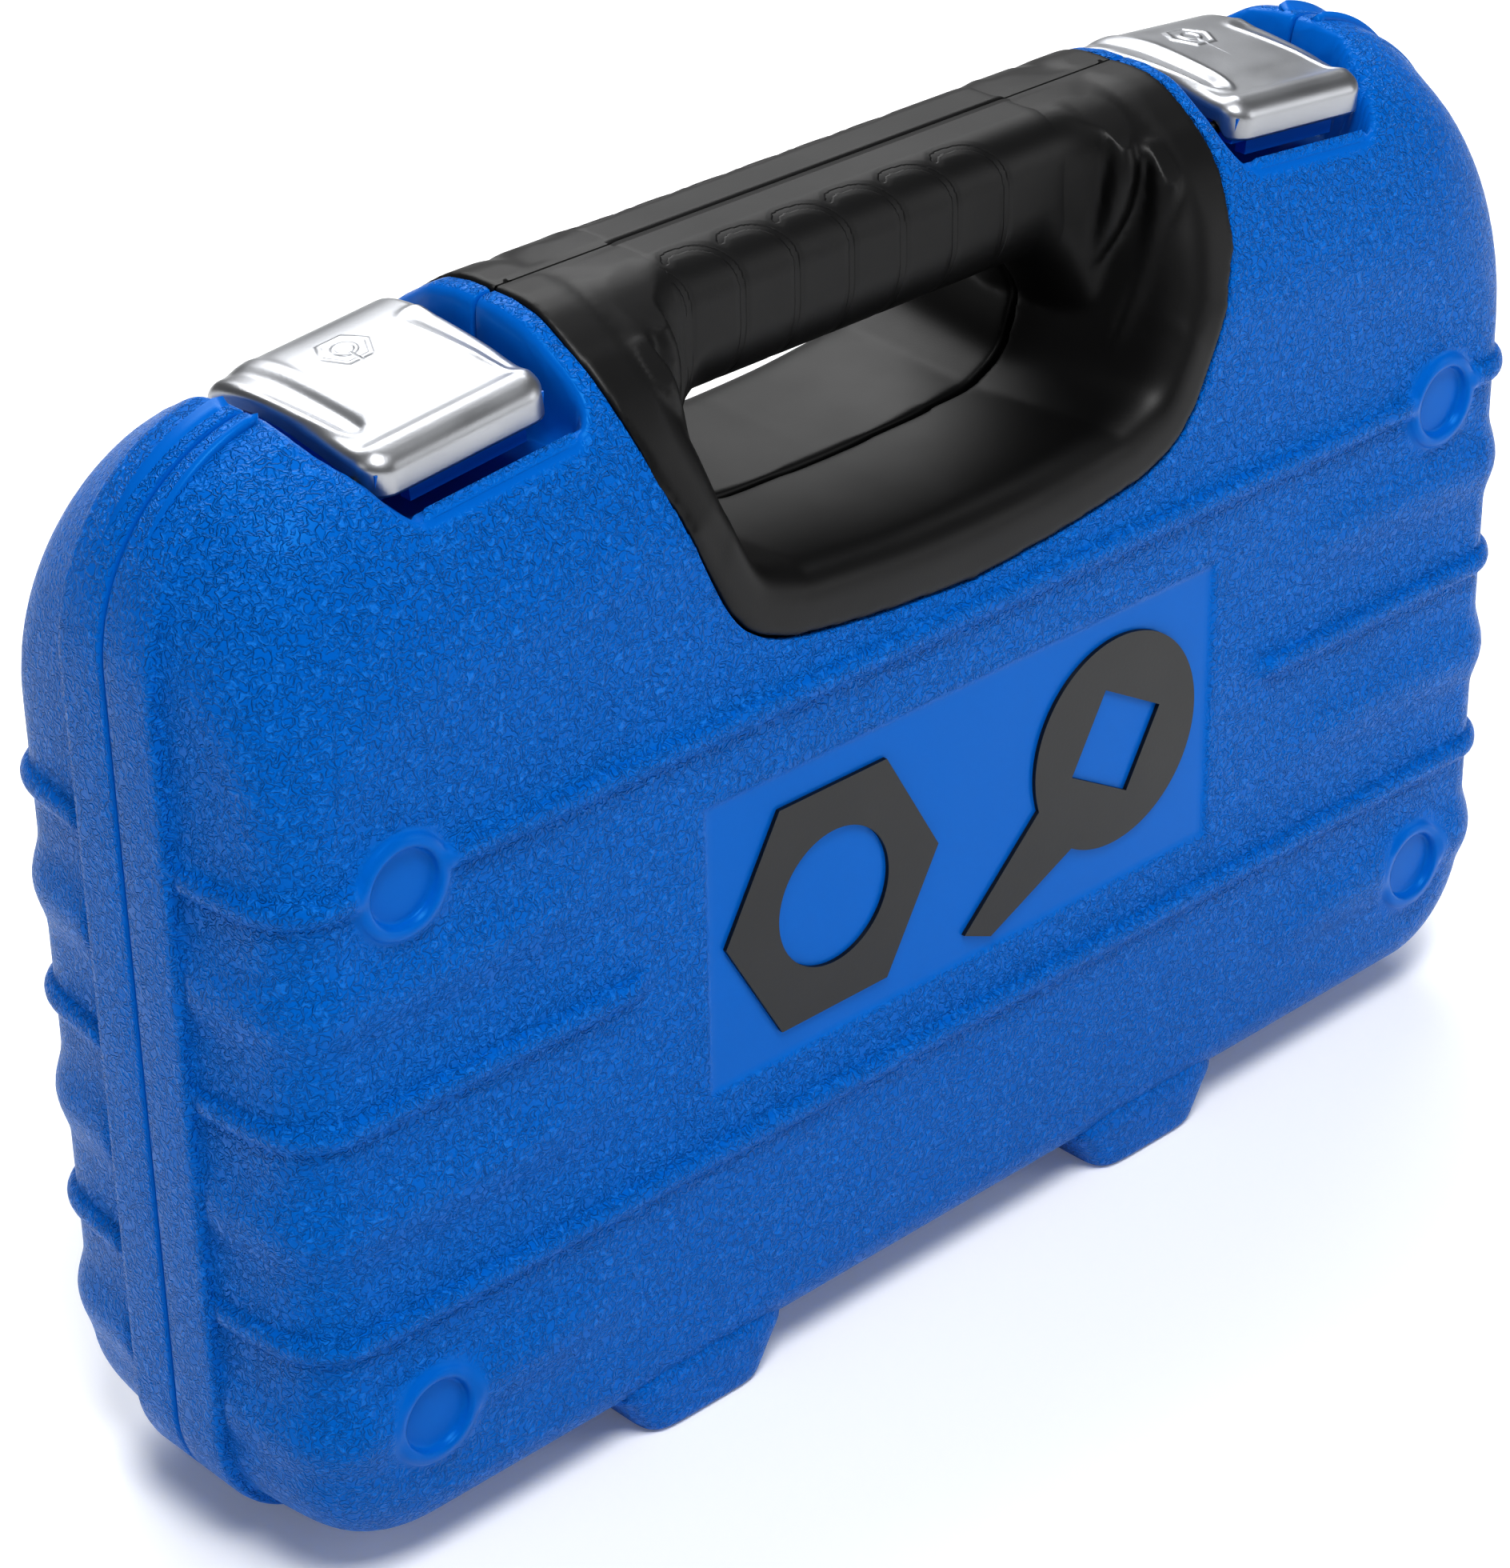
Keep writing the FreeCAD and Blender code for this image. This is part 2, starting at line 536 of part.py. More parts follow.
def ratchet_parts():
    """The ratchet, lying with its head axis along Y and its square drive in the tray."""
    x, y, z = RATCHET_X, RATCHET_Y, RATCHET_Z
    head = rod_y(x, y - HEAD_HALF, y + HEAD_HALF, z, HEAD_R)
    neck = Part.makeCone(6.8, 6.2, 40.0, Vector(x + 10, y, z), Vector(1, 0, 0))
    shank = rod_x(x + 48, x + 238, y, z, 6.0)
    body = fuse([head, neck, shank])
    body = body.cut(rod_y(x, y - HEAD_HALF + 3.0, y + HEAD_HALF + 1, z, 13.0))
    body = body.cut(rod_y(x, y - HEAD_HALF - 1, y, z, 6.3))
    export(body, "ratchet_body")
    ring = rod_y(x, y + HEAD_HALF - 1.5, y + HEAD_HALF, z, 12.9).cut(rod_y(x, y, y + 20, z, 9.6))
    export(ring, "ratchet_cover_plate")
    gear = rod_y(x, y - HEAD_HALF + 3.4, y + HEAD_HALF - 1.9, z, 12.6)
    collar = rod_y(x, y, y + HEAD_HALF + 1.0, z, 9.2)
    half = DRIVE_SQUARE / 2
    square = box(x - half, x + half, y + HEAD_HALF, y + HEAD_HALF + 12.0, z - half, z + half)
    drive = fuse([gear, collar, square])
    drive = drive.cut(rod_y(x, y - 20, y + 2.0, z, 4.6))
    export(drive, "ratchet_drive")
    dial = rod_y(x, y - HEAD_HALF - 3.6, y - HEAD_HALF - 0.4, z, 12.0)
    thumb = box(x - 3.0, x + 3.0, y - HEAD_HALF - 3.6, y - HEAD_HALF - 0.4, z, z + 16.0)
    selector = fuse([dial, thumb, rod_y(x, y - HEAD_HALF - 0.4, y - HEAD_HALF + 2.4, z, 6.0)])
    selector = selector.cut(rod_y(x, y - 30, y, z, 4.6))
    selector.rotate(Vector(x, y, z), Vector(0, 1, 0), 25)
    export(selector, "ratchet_selector")
    export(rod_y(x, y - HEAD_HALF - 5.6, y - HEAD_HALF + 4.2, z, 4.2), "ratchet_release_button")
    grip = rod_x(x + 118, x + 240, y, z, 13.0)
    grip = grip.cut(rod_x(x + 110, x + 238, y, z, 6.0))
    for i in range(5):
        gx = x + 136 + i * 20
        grip = grip.cut(rod_x(gx, gx + 5, y, z, 14.0).cut(rod_x(gx - 1, gx + 6, y, z, 12.2)))
    export(grip, "ratchet_grip")
    seats = [
        rod_y(x, TRAY_FACE - 10, y + HEAD_HALF + 0.6, z, HEAD_R + 1.0),
        rod_y(x, TRAY_FACE, y + HEAD_HALF + 13.2, z, 10.4),
        seat_for_rod_x(x + 8, x + 119, z, 9.6, y),
        seat_for_rod_x(x + 116, x + 241, z, 13.0 + SEAT_FIT, y),
    ]
    return seats


def bar_parts():
    """Two extension bars and a step-down adaptor in the middle row; returns their seats."""
    seats = []
    for name, x0, x1 in (("extension_long", -166.0, 6.0), ("extension_short", 20.0, 96.0)):
        rod = rod_x(x0 + 12, x1 - 18, SOCKET_Y, BAR_Z, 6.0)
        collar = rod_x(x1 - 20, x1, SOCKET_Y, BAR_Z, 10.5)
        collar = collar.cut(box(x1 - 15, x1 + 1, SOCKET_Y - 6.45, SOCKET_Y + 6.45, BAR_Z - 6.45, BAR_Z + 6.45))
        tip = box(x0, x0 + 14, SOCKET_Y - 6.35, SOCKET_Y + 6.35, BAR_Z - 6.35, BAR_Z + 6.35)
        neck = rod_x(x0 + 13, x0 + 18, SOCKET_Y, BAR_Z, BAR_R)
        export(fuse([rod, collar, tip, neck]), name)
        seats.append((x0 - 0.6, x1 + 0.6, 10.5))
    x0 = 110.0
    adaptor = rod_x(x0, x0 + 22, SOCKET_Y, BAR_Z, 10.5)
    adaptor = adaptor.cut(box(x0 - 1, x0 + 15, SOCKET_Y - 6.45, SOCKET_Y + 6.45, BAR_Z - 6.45, BAR_Z + 6.45))
    stub = box(x0 + 21, x0 + 33, SOCKET_Y - 4.75, SOCKET_Y + 4.75, BAR_Z - 4.75, BAR_Z + 4.75)
    export(fuse([adaptor, stub]), "step_down_adaptor")
    seats.append((x0 - 0.6, x0 + 33.6, 10.5))
    return seats


def plug_socket_parts():
    """The two long sockets in the upper corners; returns their seats."""
    seats = []
    for i, (x, diameter, size) in enumerate(PLUG_SOCKETS):
        shape = socket_shape(diameter, size, PLUG_SOCKET_LENGTH)
        shape.rotate(Vector(0, 0, 0), Vector(0, 1, 0), 90)
        shape.translate(Vector(x - PLUG_SOCKET_LENGTH / 2, SOCKET_Y, PLUG_SOCKET_Z))
        export(shape, "plug_socket_%d" % (i + 1))
        seats.append((x - PLUG_SOCKET_LENGTH / 2 - 0.5, x + PLUG_SOCKET_LENGTH / 2 + 0.5, max(diameter / 2, 11.0)))
    return seats


def inner_panel(side, depth, y0, y1):
    """A panel that fills the inside of a shell between two depths."""
    form = body_form(side, depth, -WALL - 0.35, -1.0)
    panel = form.common(box(-200, 200, y0, y1, 0, PANEL_TOP))
    panel = panel.cut(collar_block(side, WALL + COLLAR_FIT + 0.35, depth))
    for hand in (-1, 1):
        panel = panel.cut(place_latch(notch(WALL + 0.35), hand))
    return panel


def build_tools_and_tray():
    """Every tool, and the tray whose seats follow them."""
    rows = socket_row(UPPER_ROW, UPPER_ROW_Z, 1) + socket_row(LOWER_ROW, LOWER_ROW_Z, 1 + len(UPPER_ROW))
    rods = bar_parts()
    plugs = plug_socket_parts()
    hollow = ratchet_parts()
    solid = []
    x, y, z = RATCHET_X, RATCHET_Y, RATCHET_Z
    wall = SEAT_WALL
    solid.append(rod_y(x, TRAY_FACE, y + HEAD_HALF + 0.6 + wall, z, HEAD_R + 1.0 + wall))
    solid.append(rod_y(x, TRAY_FACE, y + HEAD_HALF + 13.2 + wall, z, 10.4 + wall))
    solid.append(seat_for_rod_x(x + 8 - wall, x + 119, z, 9.6 + wall, y))
    solid.append(seat_for_rod_x(x + 116 - wall, x + 241 + wall, z, 13.0 + SEAT_FIT + wall, y))
    for sx, z0, z1, r in rows:
        hollow.append(seat_for_rod_z(sx, z0, z1, r + SEAT_FIT))
        solid.append(seat_for_rod_z(sx, z0 - wall, z1 + wall, r + SEAT_FIT + wall))
    for x0, x1, r in rods:
        hollow.append(seat_for_rod_x(x0, x1, BAR_Z, r + SEAT_FIT, SOCKET_Y))
        solid.append(seat_for_rod_x(x0 - wall, x1 + wall, BAR_Z, r + SEAT_FIT + wall, SOCKET_Y))
    for x0, x1, r in plugs:
        hollow.append(seat_for_rod_x(x0, x1, PLUG_SOCKET_Z, r + SEAT_FIT, SOCKET_Y))
        solid.append(seat_for_rod_x(x0 - wall, x1 + wall, PLUG_SOCKET_Z, r + SEAT_FIT + wall, SOCKET_Y))
    bosses = fuse_all(solid).common(body_form(1, BASE_DEPTH, -WALL - 0.35, -1.0))
    bosses = bosses.common(box(-200, 200, TRAY_FACE, 60, 0, 300))
    tray = fuse([inner_panel(1, BASE_DEPTH, TRAY_FACE, TRAY_FACE + TRAY_SHEET), bosses])
    tray = tray.cut(fuse_all(hollow))
    export(tray, "tool_tray")
    liner = inner_panel(-1, LID_DEPTH, LINER_FACE - TRAY_SHEET, LINER_FACE)
    ribs = [box(-150, 150, LINER_FACE, LINER_FACE + 3.0, rib, rib + 3.0) for rib in (40.0, 80.0, 120.0)]
    export(fuse([liner] + ribs), "lid_liner")


def main():
    os.makedirs("parts", exist_ok=True)
    export(shell(1, BASE_DEPTH, BASE_FEET_X, 0), "base_shell")
    export(shell(-1, LID_DEPTH, LID_FEET_X, 1), "lid_shell")
    export(handle_half(1, BASE_DEPTH), "base_grip")
    export(handle_half(-1, LID_DEPTH), "lid_grip")
    build_latches()
    build_hinge_pins()
    build_emblem()
    build_tools_and_tray()


main()
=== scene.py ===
import math

import bmesh
import bpy
import numpy as np
from bpy.props import FloatProperty, FloatVectorProperty, PointerProperty
from mathutils import Matrix


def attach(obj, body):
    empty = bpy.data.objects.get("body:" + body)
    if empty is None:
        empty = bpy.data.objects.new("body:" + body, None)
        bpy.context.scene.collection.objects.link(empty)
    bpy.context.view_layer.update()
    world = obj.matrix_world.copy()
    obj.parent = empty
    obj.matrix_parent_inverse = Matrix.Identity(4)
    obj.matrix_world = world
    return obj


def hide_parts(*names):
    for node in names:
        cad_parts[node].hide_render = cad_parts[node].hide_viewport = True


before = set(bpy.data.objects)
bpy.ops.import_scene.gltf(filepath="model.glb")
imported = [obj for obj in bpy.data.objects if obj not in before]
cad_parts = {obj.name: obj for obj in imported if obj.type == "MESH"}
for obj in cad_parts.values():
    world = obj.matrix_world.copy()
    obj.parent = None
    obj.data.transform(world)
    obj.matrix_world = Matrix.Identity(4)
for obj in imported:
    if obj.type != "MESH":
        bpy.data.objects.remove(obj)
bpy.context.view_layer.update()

bl_info = {
    "name": "Moulded Tool Case",
    "version": (1, 0, 0),
    "blender": (4, 5, 0),
    "location": "View3D > Sidebar > Tool Case",
    "description": "Builds a moulded tool case with steel latches and the tools inside it",
    "category": "Object",
}

MM = 0.001

# --- Sizes shared with the part, in millimetres ---------------------------------
DEPTH = 43.2
RIM_HALF, RIM_TOP, RIM_BOTTOM = 181.0, 244.0, 5.2
CORNER_TOP, CORNER_BOTTOM = 41.4, 26.0
FLAT_HALF = 89.7
TOP_SLOPE = 0.094
# (depth short of the face, half width, top height, bottom height)
BODY = [
    (29.2, 178.4, 241.0, 8.2), (23.2, 178.0, 238.6, 8.3), (17.2, 177.4, 234.9, 8.5),
    (12.2, 176.7, 229.8, 8.8), (8.2, 175.6, 224.0, 9.4), (4.7, 173.6, 217.0, 10.8),
    (2.0, 170.6, 209.5, 13.2), (0.6, 168.0, 204.0, 15.8), (0.0, 165.5, 199.0, 18.5),
]
# (depth, inset) of the rim, from the mating flange round the parting edge to the step
RIM_ROWS = [
    (6.5, 4.2), (0.55, 4.2), (0.3, 3.9), (0.3, 1.0), (0.5, 0.3), (1.1, 0.0),
    (6.0, 0.0), (12.2, 0.0), (13.4, 0.22), (14.0, 0.8),
]
STEP_ROWS = [(14.15, 0.5), (14.45, 0.9), (15.4, 1.0)]
# (depth, height) of the top edge, which rolls over without the step the sides have
TOP_ROLL = [(6.0, 244.0), (10.0, 243.5), (14.0, 242.2), (18.0, 240.0), (22.0, 237.4), (26.0, 234.6)]
# Places along the body's outlines where a row lies, closer together where the shoulder bends
BODY_ROWS = [0.5, 1, 1.5, 2, 2.3, 2.6, 2.85, 3.05, 3.25, 3.45, 3.7, 4, 4.4, 4.8, 5.2, 5.6, 6, 6.5, 7, 7.5, 8]
STEP_START = 0.24
MIDDLE_Z = 100.0
SHELL_WALL = 2.2
RING_X = 149.3
RING_Z = (158.4, 38.2)
# A ring is drawn on a square of lines, this many each side of its centre; the radii are those of its
# circles
RING_HALF, RING_REACH = 12, 15.0
RING_RADII = [0.0, 3.0, 5.5, 7.1, 7.7, 8.0, 8.35, 8.9, 10.2, 10.85, 11.5, 12.7, RING_REACH]
RING_HIGH, RING_SINK, RING_OUT, RING_IN = 1.5, 2.1, (10.2, 11.5), (7.6, 8.5)
# Beads and swells: heights of their middles, how far they stand out, half width, roundness
BEADS, BEAD_HIGH, BEAD_HALF, BEAD_ROUND = (160.3, 111.8, 63.25), 2.1, 2.95, 0.62
SWELLS, SWELL_HIGH, SWELL_HALF, SWELL_ROUND = (137.0, 88.5, 40.0), 2.05, 11.0, 2.6
# Half widths over which the middle bead and the swells fade away beside the label panel
BEAD_FADE, SWELL_FADE = (88.0, 96.0), (92.0, 125.0)
# Label panel: half width, bottom, top, and how far it is sunk
PANEL, PANEL_SINK = (74.5, 77.0, 144.0), 0.55
# Half outline of the handle's collar on the face
COLLAR = [(0.0, 167.3), (27.0, 169.4), (50.0, 172.8), (60.0, 177.2), (66.5, 184.0), (73.5, 198.0),
          (80.0, 214.0), (84.5, 230.0), (86.0, 244.0), (86.5, 262.0)]
LID_FEET, BASE_FEET = (-76.5, 60.5), (-25.5, 111.5)
LATCH_X, LATCH_TILT, LATCH_TURN_Z = 117.0, math.radians(5.4), 240.0


# --- Small helpers ----------------------------------------------------------------
def hex_linear(text):
    """An sRGB hex colour as linear red, green, blue, alpha."""
    values = [int(text[i:i + 2], 16) / 255.0 for i in (1, 3, 5)]
    linear = [v / 12.92 if v <= 0.04045 else ((v + 0.055) / 1.055) ** 2.4 for v in values]
    return (*linear, 1.0)


def add_node(tree, kind, settings=None, links=None):
    """Adds one node; settings are its fields or socket values, links its inputs' sources."""
    node = tree.nodes.new(kind)
    for name, value in (settings or {}).items():
        if isinstance(name, int) or name in node.inputs:
            node.inputs[name].default_value = value
        else:
            setattr(node, name, value)
    for name, source in (links or {}).items():
        tree.links.new(source, node.inputs[name])
    return node


def smoothstep(low, high, value):
    """Nought below low, one above high, and the cubic 3tt - 2ttt between them."""
    t = np.clip((value - low) / (high - low), 0.0, 1.0)
    return t * t * (3.0 - 2.0 * t)


def smooth_max(a, b, k):
    """The larger of two surfaces, plus a quarter of k times the square of how near they are: a fillet k
    wide."""
    h = np.clip(k - np.abs(a - b), 0.0, None) / k
    return np.maximum(a, b) + h * h * k * 0.25


def curve_at(points, t):
    """A smooth curve through rows of points, read at fractional row numbers t: a cubic between each two
    points whose slope at a point is half the way from the point before it to the one after it."""
    pts = np.asarray(points, float)
    t = np.asarray(t, float)
    i = np.clip(np.floor(t).astype(int), 0, len(pts) - 2)
    f = (t - i)[:, None]
    before, a, b, after = (pts[np.clip(i + s, 0, len(pts) - 1)] for s in (-1, 0, 1, 2))
    m0, m1 = (b - before) / 2, (after - a) / 2
    return ((2 * f**3 - 3 * f**2 + 1) * a + (f**3 - 2 * f**2 + f) * m0
            + (3 * f**2 - 2 * f**3) * b + (f**3 - f**2) * m1)


def spread(points, count):
    """count points evenly spaced along a smooth curve through the given ones."""
    dense = curve_at(points, np.linspace(0, len(points) - 1, 60 * len(points)))
    along = np.concatenate([[0], np.cumsum(np.linalg.norm(np.diff(dense, axis=0), axis=1))])
    want = np.linspace(0, along[-1], count)
    return np.stack([np.interp(want, along, dense[:, c]) for c in range(dense.shape[1])], axis=1)


def grid_faces(rows, cols, wrap=False):
    """The four-cornered faces of a grid of rows x cols points, row by row."""
    r = np.arange(rows - 1)[:, None]
    c = np.arange(cols if wrap else cols - 1)[None, :]
    d = (c + 1) % cols
    corners = [r * cols + c, r * cols + d, (r + 1) * cols + d, (r + 1) * cols + c]
    return np.stack(corners, axis=-1).reshape(-1, 4)


def closed_faces(rows, cols, first):
    """Faces of a closed tube of rows x cols points with flat ends, numbered from first."""
    faces = (grid_faces(rows, cols, wrap=True) + first).tolist()
    end = first + (rows - 1) * cols
    return faces + [list(range(first, first + cols))[::-1], list(range(end, end + cols))]


def make_piece(name, points, faces, material, body, replaces=(), attributes=None):
    """Puts points (mm) and faces into a mesh, and hangs it on a body of the frame."""
    mesh = bpy.data.meshes.new(name)
    face_list = faces.tolist() if isinstance(faces, np.ndarray) else faces
    mesh.from_pydata((np.asarray(points) * MM).tolist(), [], face_list)
    mesh.update()
    mesh.shade_smooth()
    for key, values in (attributes or {}).items():
        layer = mesh.attributes.new(key, "FLOAT", "POINT")
        layer.data.foreach_set("value", np.asarray(values, np.float32))
    piece = bpy.data.objects.new(name, mesh)
    bpy.context.scene.collection.objects.link(piece)
    mesh.materials.append(material)
    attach(piece, body)
    if replaces:
        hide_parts(*replaces)
    return piece


def finish_node(names, material):
    """Gives carried-over nodes their finish."""
    for name in names:
        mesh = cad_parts[name].data
        mesh.materials.clear()
        mesh.materials.append(material)


# --- Materials --------------------------------------------------------------------
# Sizes of the marks in each finish, in millimetres. Dust, peening and spark pits are drawn coarser than
# they are, so that they show at all.
GRAIN_WORM, GRAIN_DEPTH, BLOW_CLOUD = 1.613, 0.4, 71.43
RUBBER_BLOOM, RUBBER_DUST, DUST_DEPTH = 33.33, 0.3846, 0.04
TUMBLE_STAIN, TUMBLE_PEEN, PEEN_DEPTH = 16.67, 0.6667, 0.05
FLOW_MARK, SPARK_PIT = 22.22, 0.7692
OXIDE_CLOUD, POLISH_CLOUD, SATIN_CLOUD = 8.333, 25.0, 11.11


def marks(size):
    """The noise scale that makes marks this many millimetres across."""
    return 1.0 / (size * MM)


def new_material(name, colour, roughness, metallic=0.0, **settings):
    """A principled material; settings are more of the shader's own sockets, with _ for a space."""
    material = bpy.data.materials.new(name)
    material.use_nodes = True
    tree = material.node_tree
    shader = tree.nodes["Principled BSDF"]
    shader.inputs["Base Color"].default_value = colour
    shader.inputs["Roughness"].default_value = roughness
    shader.inputs["Metallic"].default_value = metallic
    for key, value in settings.items():
        shader.inputs[key.replace("_", " ")].default_value = value
    return material, tree, shader


def clouded_gloss(tree, shader, place, size, detail, low, high):
    """Lets the roughness drift between low and high in clouds of this size."""
    cloud = add_node(tree, "ShaderNodeTexNoise", {"Scale": marks(size), "Detail": detail}, {"Vector": place})
    rough = add_node(tree, "ShaderNodeMapRange", {"To Min": low, "To Max": high},
                     {"Value": cloud.outputs["Fac"]})
    tree.links.new(rough.outputs[0], shader.inputs["Roughness"])


def fine_relief(tree, shader, place, size, detail, strength, depth):
    """Pits the surface with noise of this size and depth."""
    fine = add_node(tree, "ShaderNodeTexNoise", {"Scale": marks(size), "Detail": detail}, {"Vector": place})
    bump = add_node(tree, "ShaderNodeBump", {"Strength": strength, "Distance": depth * MM},
                    {"Height": fine.outputs["Fac"]})
    tree.links.new(bump.outputs[0], shader.inputs["Normal"])


def grained_polypropylene(colour):
    """Polypropylene blow-moulded in a leather-grained tool: wormy grain, soft gloss, smooth pockets."""
    material, tree, shader = new_material("grained_polypropylene", colour, 0.42, Specular_IOR_Level=0.22,
                                          Specular_Tint=(0.1, 0.55, 1.0, 1.0))
    place = add_node(tree, "ShaderNodeTexCoord").outputs["Object"]
    grain = add_node(tree, "ShaderNodeAttribute", {"attribute_name": "grain"}).outputs["Fac"]
    # A worm stands up wherever the noise passes its middle value
    noise = add_node(tree, "ShaderNodeTexNoise",
                     {"Scale": marks(GRAIN_WORM), "Detail": 1.0, "Roughness": 0.45, "Distortion": 1.0},
                     {"Vector": place})
    centred = add_node(tree, "ShaderNodeMath", {"operation": "SUBTRACT", 1: 0.5}, {0: noise.outputs["Fac"]})
    away = add_node(tree, "ShaderNodeMath", {"operation": "ABSOLUTE"}, {0: centred.outputs[0]})
    worm = add_node(tree, "ShaderNodeMapRange",
                    {"From Min": 0.0, "From Max": 0.12, "To Min": 1.0, "To Max": 0.0},
                    {"Value": away.outputs[0]})
    shown = add_node(tree, "ShaderNodeMath", {"operation": "MULTIPLY"}, {0: worm.outputs[0], 1: grain})
    bump = add_node(tree, "ShaderNodeBump", {"Strength": 1.0, "Distance": GRAIN_DEPTH * MM},
                    {"Height": shown.outputs[0]})
    tree.links.new(bump.outputs[0], shader.inputs["Normal"])
    # The colour is a little darker in clouds, a tone that varies at random, and paler on the worms' crests, a
    # painted highlight where the gloss would catch them
    cloud = add_node(tree, "ShaderNodeTexNoise", {"Scale": marks(BLOW_CLOUD), "Detail": 3.0},
                     {"Vector": place})
    dark = tuple(c * 0.88 for c in colour[:3]) + (1.0,)
    clouded = add_node(tree, "ShaderNodeMix", {"data_type": "RGBA", 6: colour, 7: dark},
                       {0: cloud.outputs["Fac"]})
    # Painted highlight: the paler colour that the worms' crests are mixed towards
    pale = (colour[0] + 0.02, min(colour[1] * 1.7, 1.0), min(colour[2] * 1.4, 1.0), 1.0)
    crest = add_node(tree, "ShaderNodeMapRange",
                     {"From Min": 0.45, "From Max": 0.95, "To Min": 0.0, "To Max": 0.45},
                     {"Value": worm.outputs[0]})
    crest_highlight_amount = add_node(tree, "ShaderNodeMath", {"operation": "MULTIPLY"}, {0: crest.outputs[0], 1: grain})
    lit = add_node(tree, "ShaderNodeMix", {"data_type": "RGBA", 7: pale},
                   {0: crest_highlight_amount.outputs[0], 6: clouded.outputs[2]})
    tree.links.new(lit.outputs[2], shader.inputs["Base Color"])
    rough = add_node(tree, "ShaderNodeMapRange", {"To Min": 0.30, "To Max": 0.36}, {"Value": grain})
    tree.links.new(rough.outputs[0], shader.inputs["Roughness"])
    return material


def soft_touch_rubber(colour):
    """Thermoplastic rubber moulded over the grip: matt black with a faint bloom and dust."""
    material, tree, shader = new_material("soft_touch_rubber", colour, 0.46, Specular_IOR_Level=0.36)
    place = add_node(tree, "ShaderNodeTexCoord").outputs["Object"]
    clouded_gloss(tree, shader, place, RUBBER_BLOOM, 5.0, 0.40, 0.56)
    fine_relief(tree, shader, place, RUBBER_DUST, 2.0, 0.35, DUST_DEPTH)
    return material


def tumbled_steel(colour):
    """Pressed mild steel, zinc plated and tumbled: bright, but broken into fine sparkle."""
    material, tree, shader = new_material("tumbled_steel", colour, 0.34, 1.0)
    place = add_node(tree, "ShaderNodeTexCoord").outputs["Object"]
    clouded_gloss(tree, shader, place, TUMBLE_STAIN, 4.0, 0.26, 0.46)
    fine_relief(tree, shader, place, TUMBLE_PEEN, 3.0, 0.35, PEEN_DEPTH)
    return material


def plated_steel(name, colour, low, high, size):
    """Plated or oxide-blacked steel: mirror-like to satin, with a faint polishing cloud of this size."""
    material, tree, shader = new_material(name, colour, low, 1.0)
    place = add_node(tree, "ShaderNodeTexCoord").outputs["Object"]
    clouded_gloss(tree, shader, place, size, 4.0, low, high)
    return material


def moulded_polymer(name, colour, low, high, depth):
    """Injection-moulded plastic: even colour, fine spark-eroded texture and slight flow clouding."""
    material, tree, shader = new_material(name, colour, high)
    place = add_node(tree, "ShaderNodeTexCoord").outputs["Object"]
    clouded_gloss(tree, shader, place, FLOW_MARK, 3.0, low, high)
    fine_relief(tree, shader, place, SPARK_PIT, 2.0, 0.4, depth)
    return material


MATERIALS = {}


def finish(key):
    """Each finish, made once from the colours in the panel."""
    colours = bpy.context.scene.case_colours
    makers = {
        "blue": lambda: grained_polypropylene(colours.shell),
        "rubber": lambda: soft_touch_rubber(colours.grip),
        "cover": lambda: tumbled_steel(colours.cover),
        "latch": lambda: moulded_polymer("smooth_polypropylene", colours.shell, 0.28, 0.36, 0.01),
        "inlay": lambda: moulded_polymer("inlay_vinyl", colours.inlay, 0.34, 0.46, 0.03),
        "tray": lambda: moulded_polymer("tray_polyethylene", colours.tray, 0.42, 0.58, 0.05),
        "pin": lambda: plated_steel("black_oxide_steel", colours.pin, 0.28, 0.42, OXIDE_CLOUD),
        "chrome": lambda: plated_steel("chrome_vanadium_polished", colours.chrome, 0.08, 0.2, POLISH_CLOUD),
        "satin": lambda: plated_steel("chrome_vanadium_satin", colours.chrome, 0.26, 0.38, SATIN_CLOUD),
        "sleeve": lambda: moulded_polymer("sleeve_polymer", colours.grip, 0.4, 0.5, 0.04),
    }
    if key not in MATERIALS:
        MATERIALS[key] = makers[key]()
    return MATERIALS[key]


# --- Shell surface ---------------------------------------------------------------
# Lines across the face above the upper rings and below the lower ones
TOP_LINES, LOW_LINES = 15, 4
# Corner blocks: the first line up the face and the first across it that keep their places, and the
# block's size
HIGH_CORNER, LOW_CORNER = (28, 14, 28), (18, 10, 18)
OUTLINE_STEPS, OUTLINE_START = 60, -120.0


def shell_rows():
    """Rows of the shell from the mating flange to the face: depth, half width, top, bottom, corner radii.
    The rim's rows are its outline less an inset, and the body's lie on a smooth curve through its
    outlines."""
    rows = [(depth, RIM_HALF - inset, RIM_TOP - inset, RIM_BOTTOM + inset, CORNER_TOP - inset,
             CORNER_BOTTOM - inset) for depth, inset in RIM_ROWS]
    body = np.array([(DEPTH - s, h, t, b, CORNER_TOP - 3, CORNER_BOTTOM - 3) for s, h, t, b in BODY])
    last = np.array(rows[-1])
    first = curve_at(body, [STEP_START])[0]
    for depth, share in STEP_ROWS:
        row = last + (first - last) * share
        row[0] = depth
        rows.append(tuple(row))
    rows += [tuple(r) for r in curve_at(body, BODY_ROWS)]
    rows = np.array(rows)
    roll = spread(TOP_ROLL, 60)
    rolled = (rows[:, 0] >= TOP_ROLL[0][0]) & (rows[:, 0] <= TOP_ROLL[-2][0])
    rows[rolled, 2] = np.interp(rows[rolled, 0], roll[:, 0], roll[:, 1])
    return rows


